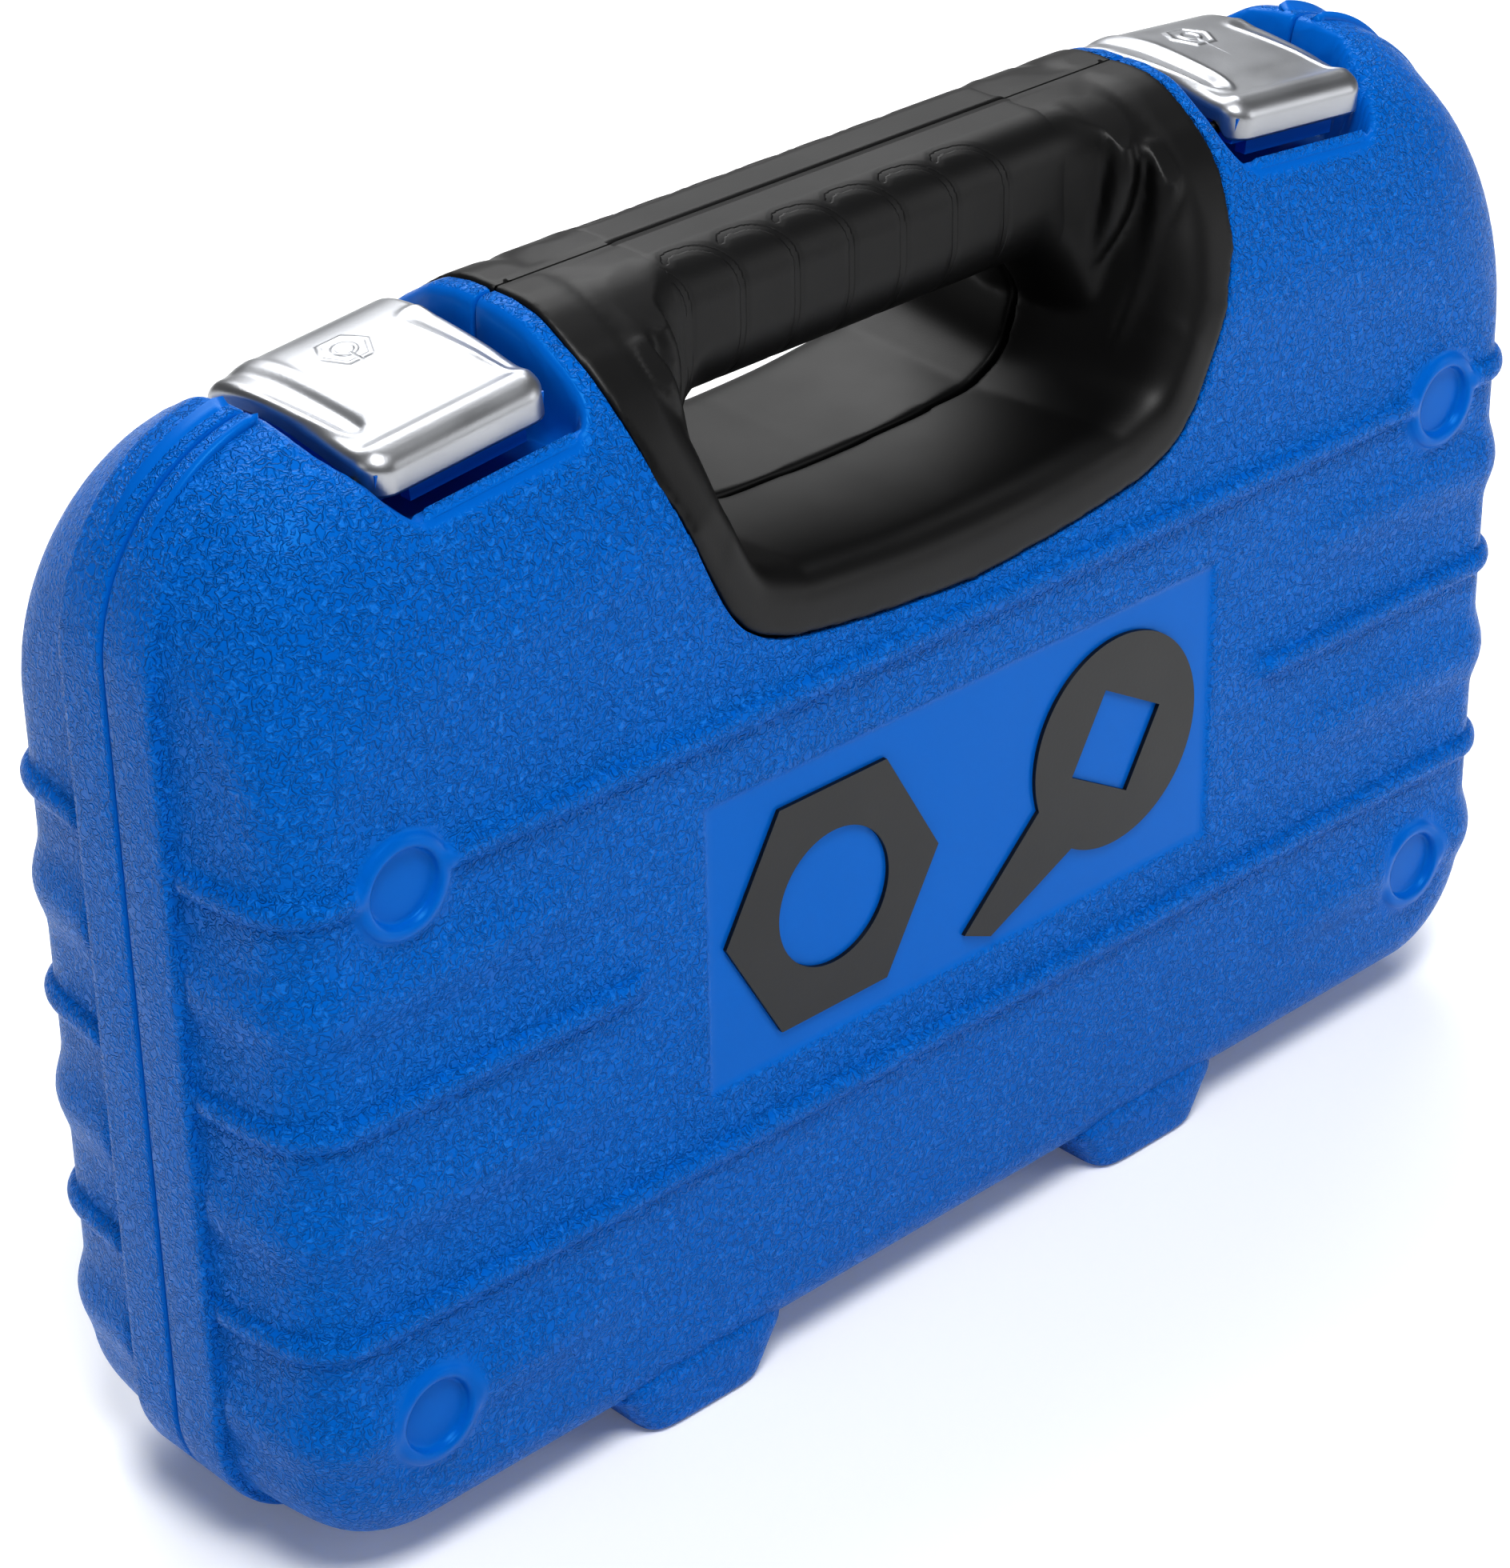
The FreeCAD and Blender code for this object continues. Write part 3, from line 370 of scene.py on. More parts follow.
def half_lines():
    """Distances from the middle of the lines that run up the face, from the edge inwards: even over the
    ring, and closer together beside the handle's collar and the label panel."""
    ring = RING_X + RING_REACH * np.linspace(1, -1, 2 * RING_HALF + 1)
    collar = [97.2, 95.4, 94, 93, 92.2, 91.6, 91.1, 90.6, 90.0, 89.2, 88.2, 87, 85.6, 84, 82, 80]
    panel = [78, 76.2, 75, 74.3, 73.4, 72]
    return np.concatenate([[BODY[-1][1]], ring, [131.8, 129.4, 127.0], np.arange(124.5, 99, -2.5), collar,
                           panel, np.linspace(69.5, 0, 27)])


def height_lines():
    """Heights of the lines that run across the face, from the top edge down: closer together at the edges
    of each bead and of the label panel, and even over the lower ring."""
    top = np.linspace(BODY[-1][2], 173.4, TOP_LINES + 1)[:-1]
    above_ring = [15, 11, 7.5, 5.05, 4.75, 4.4, 3.9, 3.3, 2.6, 1.9, 1.3, 0.6]
    below_ring = [0, -0.45, -0.8, -1.1, -1.5, -2.6, -4.1, -5.8, -7.6, -9.2, -10.8, -12.4, -14.1]
    ring_high = RING_Z[0] + np.array(above_ring + below_ring)
    edge = np.array([3.4, 3.05, 2.8, 2.4, 1.6, 0.8])
    bead = np.concatenate([edge, [0], -edge[::-1]])
    above = np.concatenate([[143.7, 142.6], np.arange(141, 130, -2), [128.5, 126, 123, 120, 117.8, 116]])
    between = np.concatenate([[107.4, 106], np.arange(103.5, 80, -2.5),
                              [79, 77.6, 76.8, 75.8, 74, 71.5, 69, 67.4]])
    ring_low = RING_Z[1] + RING_REACH * np.linspace(1, -1, 2 * RING_HALF + 1)
    low = np.linspace(23.2, BODY[-1][3], LOW_LINES + 1)[1:]
    return np.concatenate([top, ring_high, above, BEADS[1] + bead, between, BEADS[2] + bead, [59, 57.5, 55.4],
                           ring_low, low])


def quarter_outline(half, end, r, slope):
    """A quarter of an outline, from mid-side up to mid-end: a straight side, an arc of radius r, a straight
    end that falls at the slope outside the flat middle. Returns x, z and the number of the arc's middle
    point."""
    steps = OUTLINE_STEPS
    fall = math.atan(slope)
    cx = half - r
    touch_x = cx + r * math.sin(fall)
    touch_z = end - max(touch_x - FLAT_HALF, 0) * slope
    cz = touch_z - r * math.cos(fall)
    turn = np.linspace(0, math.pi / 2 - fall, 2 * steps + 1)
    x = np.concatenate([np.full(steps, half), cx + r * np.cos(turn),
                        np.linspace(touch_x, FLAT_HALF, steps)[1:], np.linspace(FLAT_HALF, 0, steps)[1:]])
    z = np.concatenate([np.linspace(OUTLINE_START, cz, steps + 1)[:-1], cz + r * np.sin(turn),
                        np.linspace(touch_z, end, steps)[1:], np.full(steps - 1, end)])
    return x, z, 2 * steps


def edge_row(outline, lines_x, lines_z, fix_x, fix_z, k):
    """Row k of the shell in one corner, up the side and along the end: points on the outline, evenly spaced
    from the corner's middle to the first fixed line, and then where the fixed lines meet it."""
    x, z, corner = outline
    along = np.concatenate([[0], np.cumsum(np.hypot(np.diff(x), np.diff(z)))])
    side_fixed, end_fixed = lines_z[fix_z:], lines_x[fix_x:]
    side_x = np.interp(side_fixed, z[:corner + 1], x[:corner + 1])
    start = np.interp(side_fixed[0], z[:corner + 1], along[:corner + 1])
    loose = np.linspace(along[corner], start, fix_z - k + 1)[:-1]
    side = np.stack([np.concatenate([np.interp(loose, along, x), side_x]),
                     np.concatenate([np.interp(loose, along, z), side_fixed])], axis=1)
    backwards = x[corner:][::-1]
    end_z = np.interp(end_fixed, backwards, z[corner:][::-1])
    start = np.interp(end_fixed[0], backwards, along[corner:][::-1])
    loose = np.linspace(along[corner], start, fix_x - k + 1)[:-1]
    top = np.stack([np.concatenate([np.interp(loose, along, x), end_fixed]),
                    np.concatenate([np.interp(loose, along, z), end_z])], axis=1)
    return side, top


def coons(grid, n, m):
    """Fills the block between lines n and m of both directions from its four edges: the sum of the two ways
    of joining opposite edges by straight lines, less the four corners joined both ways."""
    size = m - n
    u = (np.arange(size + 1) / size)[:, None, None]
    v = (np.arange(size + 1) / size)[None, :, None]
    block = grid[n:m + 1, n:m + 1].copy()
    left, right = block[0][None, :], block[-1][None, :]
    top, low = block[:, 0][:, None], block[:, -1][:, None]
    corners = ((1 - u) * (1 - v) * block[0, 0] + u * (1 - v) * block[-1, 0]
               + (1 - u) * v * block[0, -1] + u * v * block[-1, -1])
    grid[n:m + 1, n:m + 1] = (1 - u) * left + u * right + (1 - v) * top + v * low - corners


def corner_grid(rows, lines_x, lines_z, slope, end_column, radius_column, layout):
    """One quarter of the shell as a grid: [side line, end line] -> x, z (z measured towards the end)."""
    n = len(rows) - 1
    fix_x, fix_z, block = layout
    xs = np.concatenate([np.zeros(n), lines_x])
    zs = np.concatenate([np.zeros(n), lines_z])
    grid = np.zeros((len(xs), len(zs), 2))
    drop = np.clip(xs - FLAT_HALF, 0, None) * slope
    fade = np.clip((zs - zs[n + block]) / (zs[n] - zs[n + block]), 0, 1)
    grid[:, :, 0] = xs[:, None]
    grid[:, :, 1] = zs[None, :] - drop[:, None] * fade[None, :]
    for k in range(n + 1):
        outline = quarter_outline(rows[k][1], rows[k][end_column], rows[k][radius_column], slope)
        side, top = edge_row(outline, xs, zs, n + fix_x, n + fix_z, k)
        grid[k, k:] = side
        grid[k:, k] = top
    coons(grid, n, n + block)
    return grid


def base_grid(rows):
    """The whole shell as a grid of x, depth, z: an upper and a lower corner block joined and mirrored. Also
    the number of the row each point belongs to, counted from the nearest edge of the grid, and of the last
    row."""
    n = len(rows) - 1
    lines_x, lines_z = half_lines(), height_lines()
    upper = lines_z[lines_z > MIDDLE_Z]
    lower = lines_z[lines_z <= MIDDLE_Z][::-1]
    high_rows, low_rows = rows.copy(), rows.copy()
    high_rows[:, 2] -= MIDDLE_Z
    low_rows[:, 3] = MIDDLE_Z - low_rows[:, 3]
    high = corner_grid(high_rows, lines_x, upper - MIDDLE_Z, TOP_SLOPE, 2, 4, HIGH_CORNER)
    low = corner_grid(low_rows, lines_x, MIDDLE_Z - lower, 0.0, 3, 5, LOW_CORNER)
    high[:, :, 1] += MIDDLE_Z
    low[:, :, 1] = MIDDLE_Z - low[:, :, 1]
    half = np.concatenate([high, low[:, ::-1]], axis=1)
    whole = np.concatenate([half * (-1, 1), half[:-1][::-1]], axis=0)
    nx, nz = whole.shape[:2]
    i = np.minimum(np.arange(nx), np.arange(nx)[::-1])[:, None]
    j = np.minimum(np.arange(nz), np.arange(nz)[::-1])[None, :]
    level = np.minimum(np.minimum(i, j), n)
    return np.stack([whole[:, :, 0], rows[level, 0], whole[:, :, 1]], axis=-1), level, n


def warp_ring(points, ci, cj):
    """Bends the square of lines round one ring into circles: a line's distance from the centre, in lines,
    picks the radius, and the place along the square's side is the angle. The two outermost squares blend
    back."""
    span = np.arange(-RING_HALF, RING_HALF + 1)
    a, b = np.meshgrid(span, span, indexing="ij")
    q = np.maximum(np.abs(a), np.abs(b))
    block = points[ci - RING_HALF:ci + RING_HALF + 1, cj - RING_HALF:cj + RING_HALF + 1]
    centre = points[ci, cj].copy()
    safe = np.maximum(q, 1)
    angle = np.where(np.abs(a) >= np.abs(b), np.pi / 4 * b / safe * np.sign(a) + np.where(a < 0, np.pi, 0.0),
                     np.sign(b) * np.pi / 2 - np.pi / 4 * a / safe * np.sign(b))
    radii = np.array(RING_RADII)[q]
    circle_x = centre[0] + radii * np.cos(angle) * np.sign(points[ci + 1, cj, 0] - points[ci, cj, 0])
    circle_z = centre[2] + radii * np.sin(angle) * np.sign(points[ci, cj + 1, 2] - points[ci, cj, 2])
    keep = np.where(q <= RING_HALF - 2, 0.0, np.where(q == RING_HALF - 1, 0.5, 1.0))
    block[:, :, 0] = circle_x * (1 - keep) + block[:, :, 0] * keep
    block[:, :, 2] = circle_z * (1 - keep) + block[:, :, 2] * keep


def grid_normals(points):
    """The cross product of the differences along and across the grid, made one long."""
    du = np.gradient(points, axis=0)
    dv = np.gradient(points, axis=1)
    normal = np.cross(du, dv)
    length = np.linalg.norm(normal, axis=-1, keepdims=True)
    return normal / np.maximum(length, 1e-9)


def ridge(distance, half, power=1.0):
    """A rounded ridge: one less the square of distance over half, to a power; nought from half outwards."""
    t = np.clip(1 - (distance / half) ** 2, 0, 1)
    return t ** power


def panel_edge(points):
    """How far outside the label panel's edge each point is, negative inside it."""
    x, z = np.abs(points[:, :, 0]), points[:, :, 2]
    return np.maximum(np.maximum(x - PANEL[0], z - PANEL[2]), PANEL[1] - z)


def raised(points, level, front):
    """How far each point stands out: the tallest of the beads' and swells' ridges over the height; on the
    front each ring steps out and back in with the distance from its centre, and the panel steps down; it
    all fades in over the first rows of the body."""
    x, z = points[:, :, 0], points[:, :, 2]
    ax = np.abs(x)
    on_body = np.clip((level - len(RIM_ROWS) + 1) / 4.0, 0.0, 1.0)
    height = np.zeros_like(x)
    for number, bead in enumerate(BEADS):
        fade = smoothstep(*BEAD_FADE, ax) if (number == 1 and front) else 1.0
        height = np.maximum(height, BEAD_HIGH * ridge(z - bead, BEAD_HALF, BEAD_ROUND) * fade)
    for swell in SWELLS:
        fade = smoothstep(*SWELL_FADE, ax) if front else 1.0
        height = np.maximum(height, SWELL_HIGH * ridge(z - swell, SWELL_HALF, SWELL_ROUND) * fade)
    if front:
        on_face = points[:, :, 1] > DEPTH - 5.2
        for zc in RING_Z:
            r = np.hypot(ax - RING_X, z - zc)
            ring = RING_HIGH * (1 - smoothstep(*RING_OUT, r)) - RING_SINK * (1 - smoothstep(*RING_IN, r))
            outside = np.where(r > RING_OUT[0] - 0.7, height, -9)
            height = np.where((r < RING_OUT[1] + 0.1) & on_face, np.maximum(ring, outside), height)
        edge = panel_edge(points)
        height = height * smoothstep(-1.0, 1.5, edge) - PANEL_SINK * (1 - smoothstep(-0.5, 0.3, edge))
    return height * on_body


# Latch pockets, from the latch's middle: outer and inner sides, front wall, taper towards the front, corner
# radius, width of the rounded brow, steepness of the walls, fillet at the floor, and how low they reach
POCKET_OUTER, POCKET_INNER, POCKET_FRONT, POCKET_TAPER = 26.8, 25.9, 32.2, 6.5
POCKET_CORNER, POCKET_BROW, POCKET_STEEP, POCKET_FILLET, POCKET_LOWEST = 6.0, 3.2, 9.0, 2.0, 195.0
FLANGE_ROWS, FLANGE_REACH = 5, 150.0
# (y, height) of the pocket's floor in each half
LID_FLOOR = ([-60, -36, -33, -31, -29, -26, -20, 0, 60], [246, 238, 229, 224.5, 221.5, 219.5, 218, 217, 217])
BASE_FLOOR = ([-60, 0, 5, 31, 60], [217, 217, 213.5, 213.5, 206])


def sink_latch_pockets(points, front):
    """Lowers the surface under each latch, measured upright to the latch's tilt: a quarter-round brow
    outside the pocket's outline, steep walls inside it and a curved floor with a fillet. The flange's rows
    are then laid again inside the pocket's edge. Returns one where the surface is as it was, nought where
    it is sunk."""
    sign = -1.0 if front else 1.0
    x, y, z = points[:, :, 0], sign * points[:, :, 1], points[:, :, 2]
    dx, dz = np.abs(x) - LATCH_X, z - LATCH_TURN_Z
    tx = dx * math.cos(LATCH_TILT) - dz * math.sin(LATCH_TILT)
    tz = dx * math.sin(LATCH_TILT) + dz * math.cos(LATCH_TILT)
    outer = np.full_like(y, POCKET_OUTER)
    ahead = np.full_like(y, -50.0)
    if front:
        outer -= POCKET_TAPER * smoothstep(-12, -31, y)
        ahead = -POCKET_FRONT - y
    side = np.maximum(tx - outer, -POCKET_INNER - tx)
    a, b = side + POCKET_CORNER, ahead + POCKET_CORNER
    away = (np.minimum(np.maximum(a, b), 0) + np.hypot(np.maximum(a, 0), np.maximum(b, 0)) - POCKET_CORNER)
    brow = POCKET_BROW
    fillet = brow - np.sqrt(np.clip(brow**2 - np.clip(brow - away, 0, brow) ** 2, 0, None))
    floor = np.interp(y, *(LID_FLOOR if front else BASE_FLOOR)) - LATCH_TURN_Z
    wall = tz - brow + np.clip(away, -30, 0) * POCKET_STEEP
    inside = smooth_max(wall, floor, POCKET_FILLET)
    sunk = np.where(away >= 0, tz - fillet, np.minimum(inside, tz))
    sunk = np.where((away < brow) & (z > POCKET_LOWEST), sunk, tz)
    change = sunk - tz
    points[:, :, 0] += np.sign(x) * change * math.sin(LATCH_TILT)
    points[:, :, 2] += change * math.cos(LATCH_TILT)
    edge = points[:, FLANGE_ROWS][:, [0, 2]]
    run = np.gradient(edge, axis=0)
    run /= np.maximum(np.linalg.norm(run, axis=1, keepdims=True), 1e-9)
    inward = np.stack([run[:, 1], -run[:, 0]], axis=1)
    inward *= np.sign(-inward[len(inward) // 2, 1])
    over = np.flatnonzero(np.abs(edge[:, 0]) < FLANGE_REACH)
    over = over[(over > FLANGE_ROWS) & (over < len(edge) - 1 - FLANGE_ROWS)]
    for k in range(FLANGE_ROWS):
        points[over, k, 0] = edge[over, 0] + inward[over, 0] * RIM_ROWS[k][1]
        points[over, k, 2] = edge[over, 1] + inward[over, 1] * RIM_ROWS[k][1]
    return 1 - smoothstep(0.04, 0.4, -change)


def collar_curve(count=400, inset=0.0):
    """The handle collar's outline as x, z, from the left top round to the right top: a smooth curve through
    its points, mirrored, and moved inwards along its normals."""
    right = spread(COLLAR, count)
    full = np.concatenate([(right * (-1, 1))[::-1][:-1], right])
    step = np.gradient(full, axis=0)
    step /= np.linalg.norm(step, axis=1, keepdims=True)
    return full + inset * np.stack([-step[:, 1], step[:, 0]], axis=1)


# Half width and lowest height of the part of the face near the collar, and the height above which the
# hole's edge only moves sideways
COLLAR_NEAR, COLLAR_SIDES = (95.0, 160.0), 200.0


def cut_collar(points, inset=-0.3):
    """Opens the shell under the handle: leaves out the faces inside the collar's curve, and draws the
    points of the hole's edge onto the nearest point of that curve."""
    curve = collar_curve(inset=inset)
    flat = points.reshape(-1, 3)
    near = (np.abs(flat[:, 0]) < COLLAR_NEAR[0]) & (flat[:, 2] > COLLAR_NEAR[1])
    inside = np.zeros(len(flat), bool)
    lower = np.interp(np.abs(flat[:, 0]), curve[len(curve) // 2:, 0], curve[len(curve) // 2:, 1])
    inside[near] = flat[near, 2] > lower[near]
    faces = grid_faces(*points.shape[:2])
    faces = faces[~inside[faces].all(axis=1)]
    counts = np.bincount(faces.ravel(), minlength=len(flat))
    edge = np.flatnonzero(inside & (counts > 0))
    gap = np.linalg.norm(flat[edge][:, None, [0, 2]] - curve[None], axis=2)
    nearest = curve[gap.argmin(axis=1)]
    flat[edge, 0] = nearest[:, 0]
    low = flat[edge, 2] < COLLAR_SIDES
    flat[edge[low], 2] = nearest[low, 1]
    return flat, faces


def build_shell(side, name, body, node, front):
    """One moulded half: rows of outlines from the mating flange to the face, moved along their normals for
    the raised details and then sunk for the latches. The grain stops at the flange, rings, panel and
    pockets."""
    points, level, n = base_grid(shell_rows())
    nx, nz = points.shape[:2]
    if front:
        across = n + 1 + RING_HALF
        for ci in (across, nx - 1 - across):
            for cj in (n + TOP_LINES + RING_HALF, nz - 1 - (n + LOW_LINES + RING_HALF)):
                warp_ring(points, ci, cj)
    normals = grid_normals(points * (1, side, 1))
    normals *= side * np.sign(normals[nx // 2, nz // 2, 1])
    moved = points * (1, side, 1) + normals * raised(points, level, front)[:, :, None]
    moved[:, :, 0] = np.clip(moved[:, :, 0], -RIM_HALF, RIM_HALF)
    moved *= (1, side, 1)
    grain = sink_latch_pockets(moved, front) * (level >= FLANGE_ROWS)
    if front:
        off_face = (points[:, :, 1] < 30) * 99
        for zc in RING_Z:
            r = np.hypot(np.abs(points[:, :, 0]) - RING_X, points[:, :, 2] - zc)
            grain *= smoothstep(11.4, 12.4, r + off_face)
        grain *= smoothstep(-0.6, 0.6, panel_edge(points))
    flat, faces = cut_collar(moved)
    flat = flat * (1, side, 1)
    used = np.unique(faces)
    remap = np.full(len(flat), -1)
    remap[used] = np.arange(len(used))
    faces, flat = remap[faces], flat[used]
    a, b, c = (flat[faces[:, s]] for s in (0, 1, 2))
    if np.cross(b - a, c - a)[:, 1].sum() * side < 0:
        faces = faces[:, ::-1]
    piece = make_piece(name, flat, faces, finish("blue"), body, [node],
                       {"grain": grain.ravel()[used]})
    wall = piece.modifiers.new("wall", "SOLIDIFY")
    wall.thickness = SHELL_WALL * MM
    wall.offset = -1.0
    return piece


# (height, width, inset in depth) of a foot, from inside the shell down to the middle of its sole
FOOT_ROWS = [(15.5, 47.0, 0.6), (12.0, 47.0, 0.0), (8.0, 41.7, 0.0), (4.0, 36.3, 0.0), (1.6, 33.1, 0.15),
             (0.6, 31.4, 0.7), (0.12, 29.6, 1.6), (0.0, 27.0, 2.9), (0.0, 14.0, 8.0), (0.0, 2.0, 13.2)]
FOOT_LID = [(15.5, 2.0, 13.2), (15.5, 24.0, 8.0)]
FOOT_Y, FOOT_SQUARENESS = (15.6, 43.1), 0.34


def build_foot(name, x, side, body, node):
    """A moulded foot: rounded rectangles, whose sides are cosine and sine to a small power, one for each
    row of the profile; they narrow towards the floor, and the first and last close it."""
    rows = np.vstack([FOOT_LID, spread(FOOT_ROWS, 40)])
    turn = np.linspace(0, 2 * np.pi, 97)[:-1]
    half_y = (FOOT_Y[1] - FOOT_Y[0]) / 2
    across = np.sign(np.cos(turn)) * np.abs(np.cos(turn)) ** FOOT_SQUARENESS
    along = np.sign(np.sin(turn)) * np.abs(np.sin(turn)) ** FOOT_SQUARENESS
    px = x + across[None, :] * rows[:, 1:2] / 2
    py = side * (sum(FOOT_Y) / 2 + along[None, :] * (half_y - rows[:, 2:3]))
    pz = np.maximum(rows[:, 0:1], 0.0) + np.zeros_like(px)
    points = np.stack([px, py, pz], axis=-1).reshape(-1, 3)
    faces = closed_faces(len(rows), len(turn), 0)
    if side > 0:
        faces = [f[::-1] for f in faces]
    grain = {"grain": np.ones(len(points))}
    return make_piece(name, points, faces, finish("blue"), body, (), grain)


# --- Handle -----------------------------------------------------------------------
# (depth, height) of the shell's outside over the middle, from the face to the seam on top
ENVELOPE = [(43.2, 150.0), (43.2, 199.0), (42.6, 204.0), (41.2, 209.5), (38.5, 217.0), (35.0, 224.0),
            (31.0, 229.8), (26.0, 234.6), (22.0, 237.4), (18.0, 240.0), (14.0, 242.2), (10.0, 243.5),
            (6.0, 244.0), (0.3, 244.1)]
# x and height at matching places: collar's edge, window's edge at the face, window's edge at the seam
COLLAR_KEYS = [[(0.0, 167.3), (27.0, 169.4), (50.0, 172.8)], [(50.0, 172.8), (60.0, 177.2), (66.5, 184.0)],
               [(66.5, 184.0), (73.5, 198.0), (80.0, 214.0)], [(80.0, 214.0), (82.6, 222.0), (84.5, 230.0)],
               [(84.5, 230.0), (85.6, 237.0), (85.9, 244.0)]]
FACE_KEYS = [[(0.0, 182.0), (20.0, 182.7), (44.0, 185.0)], [(44.0, 185.0), (56.0, 190.0), (62.5, 200.0)],
             [(62.5, 200.0), (65.5, 208.0), (67.5, 216.0)], [(67.5, 216.0), (69.2, 223.0), (70.0, 230.0)],
             [(70.0, 230.0), (70.6, 237.0), (71.0, 244.0)]]
MID_KEYS = [[(0.0, 180.8), (20.0, 181.1), (43.0, 182.8)], [(43.0, 182.8), (52.0, 188.0), (56.0, 198.0)],
            [(56.0, 198.0), (57.0, 205.0), (57.5, 212.0)], [(57.5, 212.0), (57.8, 218.0), (58.0, 224.0)],
            [(58.0, 224.0), (58.0, 229.0), (58.0, 232.0)]]
KEY_STATIONS = (26, 14, 14, 10, 14)
BAR_HALF_DEPTH, BAR_LOW, BAR_HIGH, BAR_ROUND, BAR_LOW_ROUND = 18.0, 211.5, 244.4, 10.0, 16.0
SEAM_HALF, SEAM_HIDDEN = 0.3, 1.2
# The collar's flange stands this high on the shell and is rooted this deep in it; its lip rolls over this
# width and this far down the window's wall; the wall is this thick
FLANGE_RAISE, FLANGE_ROOT, LIP_WIDTH, LIP_FALL, WINDOW_WALL = 0.6, 5.0, 7.5, 9.0, 4.5
# Finger grooves across the bar: middles, depth and half width of the cut and of the hollow round it
GROOVES_X = (-52.8, -38.6, -23.9, -9.2, 5.2, 19.9, 34.6)
GROOVE_CUT, GROOVE_HOLLOW = (0.95, 0.52), (0.12, 2.0)
SKIN_LIFT, SKIN_SINK = 0.12, 0.9
# Ridges at each end of the bar: x, depth, height and radius along them
FAN = ([(64.5, 20.5, 240.5, 1.5), (64.0, 23.0, 232.0, 3.0), (62.5, 22.0, 222.0, 3.0),
        (60.0, 19.0, 212.0, 1.5)],
       [(71.0, 24.0, 236.0, 1.5), (70.5, 29.0, 229.0, 3.2), (68.0, 29.5, 216.0, 3.4),
        (63.5, 28.0, 203.0, 3.0), (58.5, 26.0, 193.0, 1.5)])
# Where the blended handle is held down to the shell: half widths and depths over which the hold sets in
HOLD_X, HOLD_DEPTH = (56.0, 61.0), (32.0, 38.0)
CREST_HALF, CREST_HIGH, HANDLE_TOP = 85.3, 244.25, 244.45


def envelope_depth(height):
    """Depth of the shell's outside at a height over the middle."""
    env = spread(ENVELOPE, 400)
    return np.interp(height, env[:, 1], env[:, 0])


def on_envelope(keys):
    """A line drawn on the shell's outside through the keys, then over the top to the seam: x, depth, z."""
    pieces = []
    for part, count in zip(keys, KEY_STATIONS):
        line = spread(part, 200)
        line = np.column_stack([line[:, 0], envelope_depth(line[:, 1]), line[:, 1]])
        along = np.concatenate([[0], np.cumsum(np.linalg.norm(np.diff(line, axis=0), axis=1))])
        want = np.linspace(0, along[-1], count + 1)[:-1]
        pieces.append(np.stack([np.interp(want, along, line[:, c]) for c in range(3)], axis=1))
    end = np.array([[keys[-1][-1][0], d, 244.0 + (d < 4) * 0.1] for d in (6.0, 4.0, 2.0, SEAM_HALF)])
    return np.vstack(pieces + [end])


def plain_line(keys, depth):
    """A line at one depth through the keys, with as many points as the lines drawn on the shell."""
    pieces = [spread(part, count + 1)[:-1] for part, count in zip(keys, KEY_STATIONS)]
    line = np.vstack(pieces + [np.repeat([keys[-1][-1]], 4, axis=0)])
    return np.column_stack([line[:, 0], np.full(len(line), depth), line[:, 1]])


def mirrored(line):
    """The left half of a line joined to the right half, from the left top to the right top."""
    return np.vstack([(line * (-1, 1, 1))[::-1][:-1], line])


def collar_band():
    """The handle's collar: a closed profile carried along the window. Between the collar's edge and the
    window's edge it is a flat flange a little above the shell, then a parabola rolls it over the lip, and a
    straight wall runs to the seam; the back of the profile lies inside the shell."""
    outer, inner, mid = (mirrored(line) for line in (on_envelope(COLLAR_KEYS), on_envelope(FACE_KEYS),
                                                     plain_line(MID_KEYS, 0.75)))
    env = spread(ENVELOPE, 400)
    slope = np.gradient(env, axis=0)
    slope /= np.linalg.norm(slope, axis=1, keepdims=True)
    row = np.array([np.argmin(np.hypot(env[:, 0] - d, env[:, 1] - z)) for _, d, z in outer])
    out = np.column_stack([np.zeros(len(row)), slope[row, 1], -slope[row, 0]])
    across = inner - outer
    width = np.linalg.norm(across, axis=1, keepdims=True)
    across /= width
    down = mid - inner
    depth = np.linalg.norm(down, axis=1, keepdims=True)
    down /= np.maximum(depth, 1e-6)
    lip = np.minimum(LIP_WIDTH, width * 0.55)
    fall = np.minimum(LIP_FALL, depth * 0.4)
    start, stop = inner - across * lip, inner + down * fall
    raise_by = out * FLANGE_RAISE
    loop = [outer - out * FLANGE_ROOT, outer - raise_by, outer + out * 0.2, outer + raise_by + across * 0.3]
    loop += [outer + raise_by + across * width * share for share in (0.12, 0.24, 0.36)]
    for t in np.linspace(0, 1, 13):
        loop.append((1 - t) ** 2 * (start + raise_by) + 2 * t * (1 - t) * (inner + raise_by) + t * t * stop)
    loop += [stop + (mid - stop) * share for share in (0.2, 0.4, 0.6, 0.8, 1.0)]
    outward = (outer - inner) * (1, 0, 1)
    outward /= np.linalg.norm(outward, axis=1, keepdims=True)
    loop += [mid + outward * WINDOW_WALL, (mid + outer) / 2 + outward - out * 3.0]
    return np.stack(loop, axis=1)


